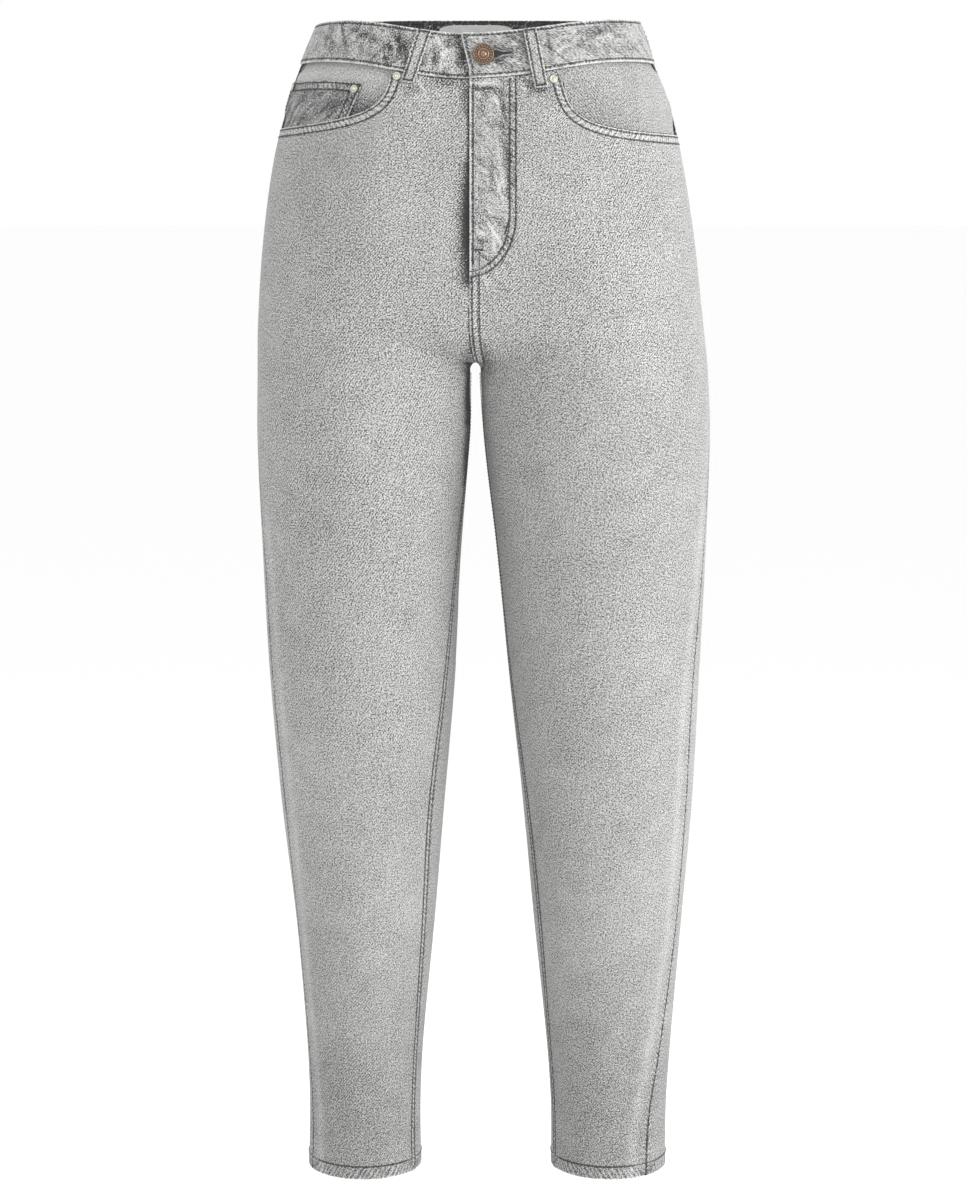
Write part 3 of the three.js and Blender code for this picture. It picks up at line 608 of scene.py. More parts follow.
def makeThread(name, dark, pale):
    paint = Paint(name)
    spot = paint.node("TexCoord", {}, {}, out="Object")
    shade = paint.noise(spot, 180, 2)
    ply = paint.noise(spot, 2600, 1)
    colour = paint.blend(paint.step(shade * 0.7 + ply * 0.3, 0.3, 0.7), dark, pale)
    return paint.finish({
        "Base Color": colour, "Roughness": 0.75, "Normal": paint.bump(ply, 0.5, 0.0002), "Sheen Weight": 0.1,
    })


def makeMetal(name, look):
    paint = Paint(name)
    spot = paint.node("TexCoord", {}, {}, out="Object")
    patina = paint.noise(spot, look["patches"], 4, 0.65)
    fine = paint.noise(spot, 2200, 2)
    raised = paint.step(paint.number("relief"), look["hollow"], look["crest"])
    worn = paint.step(patina * 0.5 + fine * 0.15 + raised * 0.4, 0.3, 0.7)
    colour = paint.blend(worn, look["dark"], look["bright"])
    return paint.finish({
        "Base Color": colour, "Metallic": 0.75 + worn * 0.2, "Roughness": 0.55 - worn * 0.2,
        "Normal": paint.bump(fine, 0.25, 0.0003),
    })


def makeLabelCloth(name):
    paint = Paint(name)
    u, v, _ = paint.parts(paint.vector("cloth"))
    weave = (u * 9.0).sine() * (v * 9.0).sine()
    soft = paint.noise(paint.point(u, v), 0.2, 2)
    shade = paint.step(weave * 0.2 + soft, 0.3, 0.75)
    return paint.finish({
        "Base Color": paint.blend(shade, (0.6, 0.6, 0.585, 1), (0.7, 0.7, 0.685, 1)), "Roughness": 0.62,
        "Normal": paint.bump(weave, 0.3, 0.0001), "Sheen Weight": 0.2,
    })


copperLook = {
    "patches": 500, "hollow": 0.72, "crest": 0.9,
    "dark": (0.11, 0.07, 0.052, 1), "bright": (0.31, 0.21, 0.15, 1),
}
brassLook = {
    "patches": 400, "hollow": 0.2, "crest": 0.8,
    "dark": (0.25, 0.245, 0.19, 1), "bright": (0.72, 0.71, 0.6, 1),
}
bandChanges = {"marble": 0.9, "veins": 0.3, "level": 0.41, "grain": 0.8, "twill": 0.06}
flyChanges = {"marble": 0.75, "veins": 0.25, "level": 0.42, "grain": 0.8, "twill": 0.07}
finishes = {
    "body": makeDenim("denim_body"),
    "band": makeDenim("denim_band", bandChanges),
    "pocket": makeDenim("denim_pocket_bearer", {"level": 0.44, "grain": 0.7}),
    "coin": makeDenim("denim_coin_pocket", {"level": 0.22, "grain": 1.1, "marble": 1.6}),
    "fly": makeDenim("denim_fly", flyChanges),
    "loop": makeDenim("denim_loop", {"marble": 0.5, "level": 0.5, "grain": 0.7}),
    "thread": makeThread("dark_thread", (0.018, 0.018, 0.019, 1), (0.07, 0.071, 0.07, 1)),
    "purl": makeThread("grey_thread", (0.12, 0.12, 0.12, 1), (0.4, 0.4, 0.39, 1)),
    "label": makeLabelCloth("label_weave"),
    "copper": makeMetal("antique_copper", copperLook),
    "brass": makeMetal("pale_brass", brassLook),
}

# Creases, worn places and painted shade: x and row of both ends, half width, height of the ridge, tone
# The tone paints ridges paler and troughs darker, partly wash wear and partly painted light and shade
marks = {
    "front": [
        # right half of the band: creases and wash marks, with painted shadow beside the right front loop and the
        # lap's end
        (-113, 3, -112, 11, 1.4, -0.3, -0.9), (-111, 13, -109, 24, 1.7, -0.3, -0.9),
        (-114, 5, -118, 24, 1.4, 0.3, 0.35), (-103, 10, -105, 20, 1.2, 0.3, 0.4),
        (-105, 7, -80, 15.5, 3.4, -0.5, -0.6), (-131, 9, -119, 18, 2.6, -0.4, -0.5),
        (-74, 13, -72, 21, 2.0, -0.4, -1.0), (-78, 20, -76, 31, 2.0, -0.4, -0.9),
        (-66, 4, -60, 26, 5, -0.5, -1.0), (-96, 22, -84, 28, 3, -0.3, -0.45),
        (-72, 6, -66, 14, 3, -0.3, -0.6), (-92, 5, -88, 14, 1.6, 0.3, 0.35),
        (-41, 8, -46, 20, 1.2, 0.5, 0.7), (-36, 4, -31, 12, 1.2, 0.5, 0.7),
        (-31, 12, -33, 27, 1.3, 0.45, 0.7), (-30, 17, -22, 12, 1.2, 0.35, 0.5),
        (-44, 7, -48, 24, 3.4, -0.4, -0.6), (-37, 12, -38, 27, 2.6, -0.4, -0.55),
        (-21, 5, -17, 27, 2.6, -0.3, -0.6), (-27, 5, -26, 10, 2.2, -0.3, -0.4),
        (-124, 22, -108, 28, 3, -0.2, -0.35), (-128, 5, -122, 16, 1.5, 0.25, 0.3),
        (-19.6, 3, -10.8, 34, 1.3, -0.2, -0.9),
        # left half of the band: creases and wash marks, with painted shade in and round the buttonhole
        (8, 5, 13, 10, 2.4, -0.2, -0.4), (7, 16.8, 17, 16.8, 5.4, -0.5, -1.3),
        (10, 16.5, 24, 16.8, 1.8, -0.5, -1.7), (20, 11, 32, 19, 5, -0.4, -0.6),
        (25, 5, 34, 10, 2.4, -0.3, -0.5), (14, 23, 33, 29, 2.4, -0.3, -0.55),
        (17, 26, 29, 21, 1.2, 0.35, 0.5), (24, 12, 31, 8, 1.1, 0.3, 0.4), (36, 4, 43, 27, 2.0, -0.3, -0.6),
        (58, 13, 74, 9, 1.2, 0.35, 0.5), (60, 21, 84, 12, 1.2, 0.4, 0.55), (70, 20, 84, 14, 3, -0.4, -0.5),
        (84, 14, 112, 4, 4.4, -0.4, -0.55), (78, 9, 96, 8, 2.6, -0.3, -0.35),
        (92, 15, 106, 12, 1.2, 0.3, 0.45), (53, 4, 57, 28, 2.0, -0.3, -0.6),
        (62, 12, 70, 15, 2.2, -0.3, -0.4), (118, 18, 128, 26, 3, -0.2, -0.2),
        (104, 20, 116, 24, 2, -0.2, -0.2),
        # beside the fly and below the loops: painted shadow along the fly's edge, under the band and the loops
        # and in the crotch, among creases
        (-13.5, 36, -12.5, 60, 4.0, -0.4, -0.8), (-11, 60, -11, 212, 1.5, -0.5, -0.7),
        (-12, 110, -12, 212, 3.6, -0.5, -1.2), (-14, 130, -14, 210, 7, -0.3, -0.6),
        (-8.6, 282, -10.4, 330, 2.8, -0.3, -2.6), (-10.4, 330, -13.5, 385, 2.2, -0.2, -1.3),
        (-14, 286, -8, 262, 3.5, -0.3, -0.7), (6, 286, 4, 264, 3.5, -0.3, -0.6),
        (-18, 36, -42, 38, 5, -0.3, -0.7), (-51, 38, -43, 53, 1.1, 0.4, 0.8),
        (-55, 44, -48, 62, 1.1, 0.3, 0.4), (-42, 37, -30, 52, 1.2, 0.3, 0.35),
        (-60, 47, -50, 45, 3.4, -0.3, -0.8), (-62, 52, -44, 66, 1.4, -0.2, -0.35),
        (-58, 56, -46, 76, 1.2, 0.25, 0.3), (31, 38, 38, 50, 1.1, 0.4, 0.6),
        (32, 37, 44, 45, 3.4, -0.3, -0.7), (41, 49, 54, 47, 3.0, -0.3, -0.8),
        (28, 36, 24, 52, 1.4, -0.2, -0.4), (-2, 205, 8, 214, 2.0, 0.3, 0.4),
        (6, 204, 20, 220, 1.4, -0.3, -0.4), (14, 190, 26, 206, 1.2, -0.2, -0.3),
        (4, 222, 10, 246, 1.4, -0.2, -0.25),
    ],
    "back": [
        (-60, 250, -110, 285, 9, -1.2, -0.15), (60, 252, 112, 288, 9, -1.3, -0.15),
        (-30, 300, -90, 312, 7, -1.0, -0.12), (30, 304, 90, 314, 7, -1.0, -0.12),
        (-20, 8, -34, 26, 2.4, -0.4, -0.5), (28, 6, 40, 25, 2.6, -0.4, -0.5),
        (-84, 10, -64, 22, 3, -0.4, -0.5), (72, 20, 98, 9, 3, -0.4, -0.5),
    ],
    "fly": [
        (-7, 38, 13, 39.5, 1.2, 0.4, 1.0), (-5, 41.5, 12, 43, 1.3, -0.3, -1.2),
        (4, 45, 20, 48, 2.6, -0.3, -0.6), (24, 36, 24, 160, 3.2, -0.1, -0.35),
        (0, 50, 2, 62, 2, -0.2, -0.4), (12, 42, 14, 58, 1.1, 0.35, 0.6), (9, 44, 20, 76, 1.0, 0.5, 1.0),
        (17, 44, 19, 96, 2.6, -0.3, -0.6), (7, 84, 14, 96, 1.2, 0.3, 0.4), (11, 96, 17, 116, 1.1, 0.4, 0.6),
        (15, 116, 19, 134, 1.1, 0.4, 0.6), (21, 88, 22, 140, 2.0, -0.25, -0.5),
        (9, 112, 8, 136, 2, -0.25, -0.35), (-2, 112, 6, 118, 1.2, 0.3, 0.4),
        (5, 118, 6, 140, 1.1, 0.3, 0.4), (12, 138, 17, 126, 1.2, 0.35, 0.4),
        (18, 144, 22, 162, 1.2, 0.35, 0.45), (6, 146, 9, 158, 1.2, 0.3, 0.4),
        (3, 158, 18, 184, 1.0, 0.5, 1.2), (11, 116, 17, 142, 1.0, 0.5, 1.0),
        (10, 172, 11, 190, 1.2, 0.4, 0.8), (-4, 172, 5, 172, 1.6, 0.35, 0.7),
        (-4, 164, 4, 163, 2.4, -0.3, -0.7), (-2, 178, 6, 179, 1.6, -0.35, -0.8),
        (12, 158, 18, 166, 2.6, -0.3, -0.6), (0, 190, 8, 198, 2, -0.3, -0.4),
        (15, 190, 22, 176, 2.2, -0.25, -0.4), (3, 182, 4, 194, 1.4, 0.3, 0.4),
        (-4, 66, 0, 110, 1.8, -0.2, -0.2), (-3, 130, 2, 150, 2, -0.2, -0.25),
    ],
    "pocket": [],
}


def markFields(points, row, face):
    height, tone = np.zeros(row.shape), np.zeros(row.shape)
    for x0, row0, x1, row1, width, lift, shade in marks[face]:
        dx, dr = x1 - x0, row1 - row0
        share = np.clip(((points[..., 0] - x0) * dx + (row - row0) * dr) / max(dx * dx + dr * dr, 1e-6), 0, 1)
        gone = np.hypot(points[..., 0] - x0 - share * dx, row - row0 - share * dr)
        fall = np.exp(-((gone / width) ** 2)) * (0.35 + 0.65 * np.sin(np.pi * np.clip(share, 0.12, 0.88)))
        height, tone = height + fall * lift, tone + fall * shade
    return height, tone


print("leg panels")
panel = {"bandColumns": 24, "scoopColumns": 46, "backColumns": 58, "topRows": 42, "backTopRows": 22}
legRows = np.concatenate([
    np.linspace(150, 236, 27)[:-1], np.linspace(236, 278, 22)[:-1],
    [278, 279.6, 280.6, 281, 281.03, 281.12, 281.3, 281.6, 282, 282.6, 283.4, 284.3, 285, 287],
    np.linspace(290, 330, 14)[:-1], np.linspace(330, 950, 172)[:-1], np.linspace(950, 981, 17)[:-1],
    outseam - closeSteps[::-1],
])
pockets = {
    "right": {
        "side": -1, "startX": -72, "deep": 86.5, "power": 3.1, "sink": 4, "rise": 2.7, "bearerStart": -52,
    },
    "left": {
        "side": 1, "startX": 63, "deep": 92.5, "power": 3.8, "sink": 2.5, "rise": 2.2, "bearerStart": 44,
    },
}


def sideSeam(side, row):
    return 2 - levelValue(row, "side" + sideName[side])


def innerSeam(side, row):
    moved = levelValue(row, "inner" + sideName[side]) * ease(row, crotchDrop, form["seamSettled"])
    return np.where(row > crotchDrop, moved, 0)


# The scooped edge of a front pocket: share 0 at the band, 1 at the side seam
def scoopPlace(pocket, share):
    start = turnAtX(pocket["side"], bandDrop, pocket["startX"], "front")
    top = bandDrop + form["bandGap"]
    cos, sin = np.clip(np.cos(share * np.pi / 2), 0, 1), np.sin(share * np.pi / 2)
    power = 2 / pocket["power"]
    return top + (pocket["deep"] - top) * sin**power, 2 - (2 - start) * cos**power


def evenScoop(pocket, wanted):
    fine = np.linspace(0, 1, 900)
    row, turn = scoopPlace(pocket, fine)
    line = barePoint(pocket["side"], row, turn)
    reached = np.concatenate([[0], np.cumsum(np.linalg.norm(np.diff(line, axis=0), axis=1))])
    return scoopPlace(pocket, np.interp(wanted(reached[-1]), reached, fine))


def hemThick(row):
    return form["hemExtra"] * ease(row, outseam - form["hemHeight"] - 0.8, outseam - form["hemHeight"] + 0.6)


felling = {"rise": 0.5, "width": (6.5, 8.5), "below": (20, 60)}  # the inner leg seam, and rows below the crotch
lowTone = {"shade": 0.26, "rows": (740, 930)}  # the lower legs are darker
sidePaleLine = {"away": 15, "width": 5, "tone": 0.22, "rows": (340, 420)}  # a pale line along the side seam


# The two faces of a layer on the garment, each with its own lift
def layerFaces(side, row, turn, lift, thickness, fall, face):
    points = barePoint(side, row, turn)
    height, tone = markFields(points, row, face)
    tone = tone - lowTone["shade"] * ease(row, *lowTone["rows"])
    thick = hemThick(row) / 2
    outer = skin(side, row, turn, lift + thick + height - fall)
    inner = skin(side, row, turn, lift - thickness - thick + height + fall)
    seamX = innerEnd(side, np.minimum(row, crotchDrop), turn <= 2)[0]
    held = np.maximum(inner[..., 0] * side, seamX * side) * side
    inner[..., 0] = np.where(row <= crotchDrop + form["slotRound"], held, inner[..., 0])
    return outer, inner, tone


def lengthsAndFall(side, row, turn, thickness):
    lengths = lengthsAlong(barePoint(side, row, turn))
    return lengths, edgeFall(gridDistances(lengths, row), thickness)


def allRound(outer, kind):
    return [(edge, kind) for edge in (outer[:, 0], outer[:, -1], outer[0], outer[-1])]


riseLook = {-1: "riseUnder", 1: "rise"}


# Shares of the way down from the top edge, closer together near it
def topShares(count, length):
    near = closeSteps / length
    return np.concatenate([near, np.linspace(near[-1], 1, count - len(near) + 1)[1:]])[:-1]


def frontPanel(pocket):
    side = pocket["side"]
    bandColumns, scoopColumns = panel["bandColumns"], panel["scoopColumns"]
    topRow, topTurn = evenScoop(pocket, lambda length: np.append(
        np.linspace(0, length - 3, scoopColumns - 3), length - closeSteps[-2::-1]))
    bandSeam = np.full(1, bandDrop + form["bandGap"])
    first, _ = turnsAcross(side, bandSeam, np.zeros(1), topTurn[:1], bandColumns + len(closeSteps) - 1)
    topTurn = np.concatenate([first[0][:bandColumns], topTurn])
    topRow = np.concatenate([np.full(bandColumns, bandSeam[0]), topRow])
    columns = len(topTurn) - 1

    starts, ends = innerSeam(side, legRows), sideSeam(side, legRows)
    starts = np.where(legRows >= crotchDrop, stepTurn(side, legRows, starts, seamGap / 2), starts)
    ends = stepTurn(side, legRows, ends, -seamGap / 2)
    legTurns, _ = turnsAcross(side, legRows, starts, ends, columns)

    shares = topShares(panel["topRows"], 110)
    upperRow = mix(topRow[None, :], legRows[0], shares[:, None])
    upperEnd = stepTurn(side, upperRow[:, -1], np.full(len(shares), 2.0), -seamGap / 2)
    upperRows = upperRow[:, -1]
    evenTurns, _ = turnsAcross(side, upperRows, np.zeros(len(shares)), upperEnd, columns)
    atTop = np.minimum(topTurn[None, :], upperEnd[:, None])
    upperTurn = mix(atTop, evenTurns, ease(shares, 0, 1)[:, None])

    row = np.concatenate([upperRow, np.repeat(legRows[:, None], columns + 1, 1)])
    turn = np.concatenate([upperTurn, legTurns])
    lengths, fall = lengthsAndFall(side, row, turn, denim)
    felled = felling["rise"] * (1 - ease(lengths, *felling["width"])) * ease(row - crotchDrop, *felling["below"])
    outer, inner, tone = layerFaces(side, row, turn, felled, denim + felled, fall, "front")
    cloth = np.stack([(lengths[:, -1:] - lengths) * side, row], -1)
    paleBeside = np.exp(-(((lengths[:, -1:] - lengths - sidePaleLine["away"]) / sidePaleLine["width"]) ** 2))
    tone = tone + sidePaleLine["tone"] * paleBeside * ease(row, *sidePaleLine["rows"])
    seams = [
        (outer[0, :bandColumns + 1], "bandSeam"), (outer[0, bandColumns:], "pocketEdge"),
        (outer[:, -1], "outseam"), (outer[-1], "hem"),
        (outer[row[:, 0] > crotchDrop, 0], "inseam"),
        (outer[row[:, 0] <= crotchDrop, 0], riseLook[side]),
    ]
    return clothPiece("front_" + sideName[side].lower(), outer, inner, cloth, tone, seams, "body")


# The yoke seam runs straight down towards the centre back, whatever the waist edge does
yokeLook = {"atSide": 72, "atCentre": 99, "columns": 60, "rows": 26, "rise": 0.35, "width": (7, 9)}


def yokeRow(side, turn):
    drop = mix(yokeLook["atSide"], yokeLook["atCentre"], np.clip((turn - 2) / 2, 0, 1))
    return drop - waistShift(side, drop, turn)


def backPanel(side):
    columns = panel["backColumns"]
    starts = stepTurn(side, legRows, sideSeam(side, legRows), seamGap / 2)
    ends = 4 + innerSeam(side, legRows)
    ends = np.where(legRows >= crotchDrop, stepTurn(side, legRows, ends, -seamGap / 2), ends)
    legTurns, _ = turnsAcross(side, legRows, starts, ends, columns)
    shares = topShares(panel["backTopRows"], 60)
    rough, _ = turnsAcross(side, np.full(1, 90.0), np.full(1, 2.0), np.full(1, 4.0), columns)
    topRow = yokeRow(side, rough[0]) + seamGap / 2
    upperRow = mix(topRow[None, :], legRows[0], shares[:, None])
    upperTurn = mix(rough, legTurns[:1], ease(shares, 0, 1)[:, None])
    row = np.concatenate([upperRow, np.repeat(legRows[:, None], columns + 1, 1)])
    turn = np.concatenate([upperTurn, legTurns])
    lengths, fall = lengthsAndFall(side, row, turn, denim)
    outer, inner, tone = layerFaces(side, row, turn, 0, denim, fall, "back")
    cloth = np.stack([lengths * -side, row], -1)
    seams = [
        (outer[0], "yokeUnder"), (outer[:, 0], "outseam"), (outer[-1], "hem"),
        (outer[row[:, -1] > crotchDrop, -1], "outseam"),
        (outer[row[:, -1] <= crotchDrop, -1], riseLook[side]),
    ]
    return clothPiece("back_" + sideName[side].lower(), outer, inner, cloth, tone, seams, "body")


def yokePiece(side):
    columns, rows = yokeLook["columns"], yokeLook["rows"]
    start = stepTurn(side, bandDrop, 2.0, seamGap / 2)
    turns, _ = turnsAcross(side, np.full(1, 60.0), np.full(1, float(start)), np.full(1, 4.0), columns)
    low = yokeRow(side, turns[0]) - seamGap / 2
    down = spread(50, rows) / 50
    row = mix(bandDrop + form["bandGap"], low[None, :], down[:, None])
    turn = np.repeat(turns, len(down), 0)
    lengths, fall = lengthsAndFall(side, row, turn, denim)
    felled = yokeLook["rise"] * (1 - ease(low - row, *yokeLook["width"]))
    outer, inner, tone = layerFaces(side, row, turn, felled, denim, fall, "back")
    cloth = np.stack([lengths * -side + 300 * side, row], -1)
    seams = [
        (outer[0], "bandSeam"), (outer[-1], "yokeEdge"), (outer[:, 0], "outseam"),
        (outer[:, -1], riseLook[side]),
    ]
    return clothPiece("yoke_" + sideName[side].lower(), outer, inner, cloth, tone, seams, "body")


for pocket in pockets.values():
    frontPanel(pocket)
for side in (-1, 1):
    backPanel(side)
    yokePiece(side)


print("pocket bearers and coin pocket")
# pale lifts a bearer's colour, painted light; shade darkens it round the coin pocket, painted shade
bearerLook = {
    "top": 27, "under": 26, "wall": 1.2, "columns": 56, "rows": 44, "pale": {-1: 0.45, 1: 0.0},
    "shade": {-1: 1.3, 1: 0.25}, "shadeRow": (76, 20), "shadeTurn": (1.25, 0.35),  # middles and half widths
}
coinLook = {
    "fromSide": 8, "inner": -97, "lean": -25, "top": 48, "low": 106, "proud": 2, "wall": 1.2,
    "columns": 40, "rows": 38, "sideStitches": (1.6, 8.0), "topStitches": (1.6, 7.5),
}


# A bearer lies behind the front, and comes out to the side seam where it is in the open
def bearerLift(pocket, row, turn):
    nearSeam = 1 - ease(2 - turn, 0.03, 0.2)
    inOpen = ease(row - bandDrop, 1.5, 9) * ease(pocket["deep"] - row, 4, 18)
    return pocket["rise"] * nearSeam * inOpen - pocket["sink"]


def bearerPiece(pocket):
    side = pocket["side"]
    down = np.linspace(bearerLook["top"], pocket["deep"] + bearerLook["under"], bearerLook["rows"])
    start = turnAtX(side, down, pocket["bearerStart"], "front")
    end = stepTurn(side, down, np.full(down.shape, 2.0), -seamGap / 2)
    turn, lengths = turnsAcross(side, down, start, end, bearerLook["columns"])
    row = np.repeat(down[:, None], turn.shape[1], 1)
    lift = bearerLift(pocket, row, turn)
    outer, inner, tone = layerFaces(side, row, turn, lift, bearerLook["wall"], 0, "pocket")
    cloth = np.stack([lengths + 500, row], -1)
    edge = skin(side, *evenScoop(pocket, lambda length: np.linspace(0, length, 90)), -pocket["sink"])
    # painted light over the bearer and painted shade round the coin pocket, added to the tone
    (middleRow, high), (middleTurn, wide) = bearerLook["shadeRow"], bearerLook["shadeTurn"]
    shade = np.exp(-(((row - middleRow) / high) ** 2 + ((turn - middleTurn) / wide) ** 2))
    tone = tone + bearerLook["pale"][side] - bearerLook["shade"][side] * shade
    seams = [(outer[:, -1], "outseam"), (edge, "shadow")]
    return clothPiece("pocket_bearer_" + sideName[side].lower(), outer, inner, cloth, tone, seams, "pocket")


def coinLift(row, turn):
    return bearerLift(pockets["right"], row, turn) + coinLook["proud"]


def coinPiece():
    down = mix(coinLook["top"], coinLook["low"], spread(100, coinLook["rows"]) / 100)
    share = (down - coinLook["top"]) / (coinLook["low"] - coinLook["top"])
    outerTurn = stepTurn(-1, down, np.full(down.shape, 2.0), -coinLook["fromSide"])
    innerTurn = turnAtX(-1, down, coinLook["inner"] + coinLook["lean"] * share, "front")
    turn, lengths = turnsAcross(-1, down, innerTurn, outerTurn, coinLook["columns"])
    row = np.repeat(down[:, None], turn.shape[1], 1)
    fall = edgeFall(gridDistances(lengths, row), coinLook["wall"])
    outer, inner, tone = layerFaces(-1, row, turn, coinLift(row, turn), coinLook["wall"], fall, "pocket")
    cloth = np.stack([lengths + 800, row], -1)
    seams = [(outer[0], "patchEdge"), (outer[:, 0], "patchEdge"), (outer[:, -1], "patchEdge")]
    return clothPiece("coin_pocket", outer, inner, cloth, tone, seams, "coin")


for pocket in pockets.values():
    bearerPiece(pocket)
coinPiece()


print("fly")
flyLook = {
    "edge": -9.2, "width": 38.5, "straight": 158, "low": 209, "lift": 0.3, "wall": 1.0, "flat": 0.12,
    "swollen": 8.5, "columns": 34, "straightRows": 62, "hookRows": 46, "edgeStitch": 2.8,
    "stitchIn": 1.2, "stitchApart": 5.0, "stitchLow": (208, 203.6), "riseStitches": (2.4, 8.2),
    "edgeEnd": 198, "riseTop": 187, "riseUnder": 196,
    "bars": [((-6.5, 186), (1.5, 186)), ((19.5, 172), (23, 160))],
}


# Half width of the stitched J at a row, from the fly edge
def flyWidth(row, width, low):
    hook = np.clip((row - flyLook["straight"]) / (low - flyLook["straight"]), 0, 1)
    return width * np.sqrt(1 - hook**2)


def flyPiece():
    straight = np.linspace(bandDrop + 2 * form["bandGap"], flyLook["straight"], flyLook["straightRows"])
    bend = np.linspace(0, 0.985, flyLook["hookRows"])[1:] * np.pi / 2
    down = np.concatenate([straight, mix(flyLook["straight"], flyLook["low"], np.sin(bend))])
    width = flyWidth(down, flyLook["width"], flyLook["low"])
    share = spread(100, flyLook["columns"]) / 100
    x = flyLook["edge"] + width[:, None] * share
    row = np.repeat(down[:, None], len(share), 1)
    fromEdge = x - flyLook["edge"]
    fromSeam = np.minimum(width[:, None] - fromEdge, (flyLook["low"] - row) * 0.9)
    swell = mix(flyLook["flat"], 1.0, ease(fromSeam, 0.3, flyLook["swollen"]))
    height, tone = markFields(np.stack([x, x, x], -1), row, "fly")
    fall = edgeFall(fromEdge, flyLook["wall"] * 1.2)
    base = flyLook["lift"]
    outer = facePoint(x, row, base + flyLook["wall"] * swell + height * swell - fall, "front")
    inner = facePoint(x, row, base - 0.15 + 0 * x + fall * 0.5, "front")
    cloth = np.stack([x + 1200, row], -1)
    seams = [(outer[:, 0], "flyEdge"), (outer[:, -1], "flyCurve")]
    return clothPiece("fly", outer, inner, cloth, tone, seams, "fly")


flyPiece()


print("waistband")
bandLook = {
    "lift": 1.0, "wall": 2.6, "lapEndX": -17, "lapEndLean": 9.5, "underEndX": 18, "lapRise": 1.45,
    "lapRamp": 30,
    "columns": 640, "rows": 34, "corner": 2.5, "topStitch": 2.4, "lowStitch": 2.6,
    "endStitch": 3.2, "innerShade": -1.1, "stitchShort": 0.035, "stitchSunk": 0.2,
}


# The band goes once round: turns 0 to 4 on the right half, 4 to 8 on the left, and past both ends
def bandSide(around):
    right = ((around >= 0) & (around <= 4)) | (around > 8)
    turn = np.select([around < 0, around <= 4, around <= 8], [-around, around, 8 - around], around - 8)
    return np.where(right, -1, 1), turn


def bandSkin(around, row, lift):
    side, turn = bandSide(around)
    return pickSide(side, skin(-1, row, turn, lift), skin(1, row, turn, lift))


def bandNormal(around, row):
    side, turn = bandSide(around)
    return pickSide(side, outward(-1, row, turn), outward(1, row, turn))


def lapLift(around, x):
    end, ramp = bandLook["underEndX"] + 2, bandLook["lapRamp"]
    over = bandLook["lapRise"] * (1 - ease(x, end, end + ramp))
    start = bandLook["lapEndX"] - 2
    under = -bandLook["lapRise"] * ease(x, start - ramp, start)
    return np.where(around > 7, over, np.where(around < 1, under, 0))


def bandEnds(row):
    corner = bandLook["corner"] * np.clip(1 - row / 4, 0, 1) ** 2
    lapX = bandLook["lapEndX"] + row / bandDrop * bandLook["lapEndLean"] + corner
    return -turnAtX(1, row, bandLook["underEndX"], "front"), 8 + turnAtX(-1, row, lapX, "front")


def bandTurns(row, count):
    first, last = bandEnds(row)
    fine = np.linspace(first, last, 900, axis=1)
    reached = lengthsAlong(bandSkin(fine, row[:, None], 0))
    lengths = np.array([spread(r[-1], count) for r in reached])
    return np.array([np.interp(w, r, t) for w, r, t in zip(lengths, reached, fine)]), lengths


def bandHeight(around, row, bare):
    height, tone = markFields(bare, row, "front")
    onFront = bare[..., 1] < 0
    return np.where(onFront, height, 0), np.where(onFront, tone, 0)


def waistband():
    down = spread(bandDrop, bandLook["rows"])
    around, lengths = bandTurns(down, bandLook["columns"])
    row = np.repeat(down[:, None], around.shape[1], 1)
    bare = bandSkin(around, row, 0)
    lap = lapLift(around, bare[..., 0])
    height, tone = bandHeight(around, row, bare)
    fall = edgeFall(gridDistances(lengths, row), 2.2)
    pinch = -0.25 * np.exp(-((row - bandLook["topStitch"]) / 0.9) ** 2)
    pinch = pinch - 0.25 * np.exp(-((bandDrop - row - bandLook["lowStitch"]) / 0.9) ** 2)
    outer = bandSkin(around, row, bandLook["lift"] + lap + height + pinch - fall)
    inner = bandSkin(around, row, bandLook["lift"] - bandLook["wall"] + lap + fall)
    cloth = np.stack([lengths + 1500, row], -1)
    seams = [(outer[0], "bandEdge"), (outer[-1], "bandEdge"), (outer[:, -1], "bandEdge")]
    # the band's inner face is painted much darker: painted shade inside the waist
    return clothPiece("waistband", outer, inner, cloth, tone, seams, "band", innerShade=bandLook["innerShade"])


waistband()


print("belt loops")
loopLook = {
    "width": 11, "wall": 1.8, "top": 0.4, "columns": 12, "rows": 44, "stitchIn": 2.1, "bend": 0.6, "sewn": 4,
}
tiny, onLap = 1e-6, 7.5
loops = [
    # name, side, face, place at the top and at the bottom, lower end, slack
    ("loop_front_right", -1, "front", -44.8, -59.5, 42, 1.4),
    ("loop_front_left", 1, "front", 39, 49, 46.5, 1.4),
    ("loop_side_right", -1, "turn", 2.17, 2.17, 43, 1.3),
    ("loop_side_left", 1, "turn", 2.12, 2.12, 43, 1.3),
    ("loop_back", 1, "back", 6.5, 6.5, 45, 1.4),
]


def loopLift(row, slack):
    onBand = np.clip((row - loopLook["top"]) / (bandDrop - loopLook["top"]), 0, 1)
    proud = bandLook["lift"] + 0.3 + slack * np.sin(onBand * np.pi)
    return mix(proud, 0.3, ease(row, bandDrop + loopLook["bend"], bandDrop + loopLook["sewn"]))


# The turn across a loop at a distance from its middle line, and how far it stands off
def loopPlace(loop, row, aside):
    name, side, face, top, bottom, low, slack = loop
    share = (row - loopLook["top"]) / (low - loopLook["top"])
    centre = mix(top, bottom, share)
    if face != "turn":
        centre = turnAtX(side, row, centre, face)
    stepped = stepTurn(side, row, centre, np.where(aside == 0, tiny, aside))
    turn = np.where(np.abs(aside) > tiny, stepped, centre)
    lift = loopLift(row, slack)
    if name == "loop_front_left":
        bare = barePoint(side, row, turn)
        onBand = 1 - ease(row, bandDrop + loopLook["bend"], bandDrop + loopLook["sewn"])
        lift = lift + lapLift(onLap, bare[..., 0]) * onBand
    return turn, lift


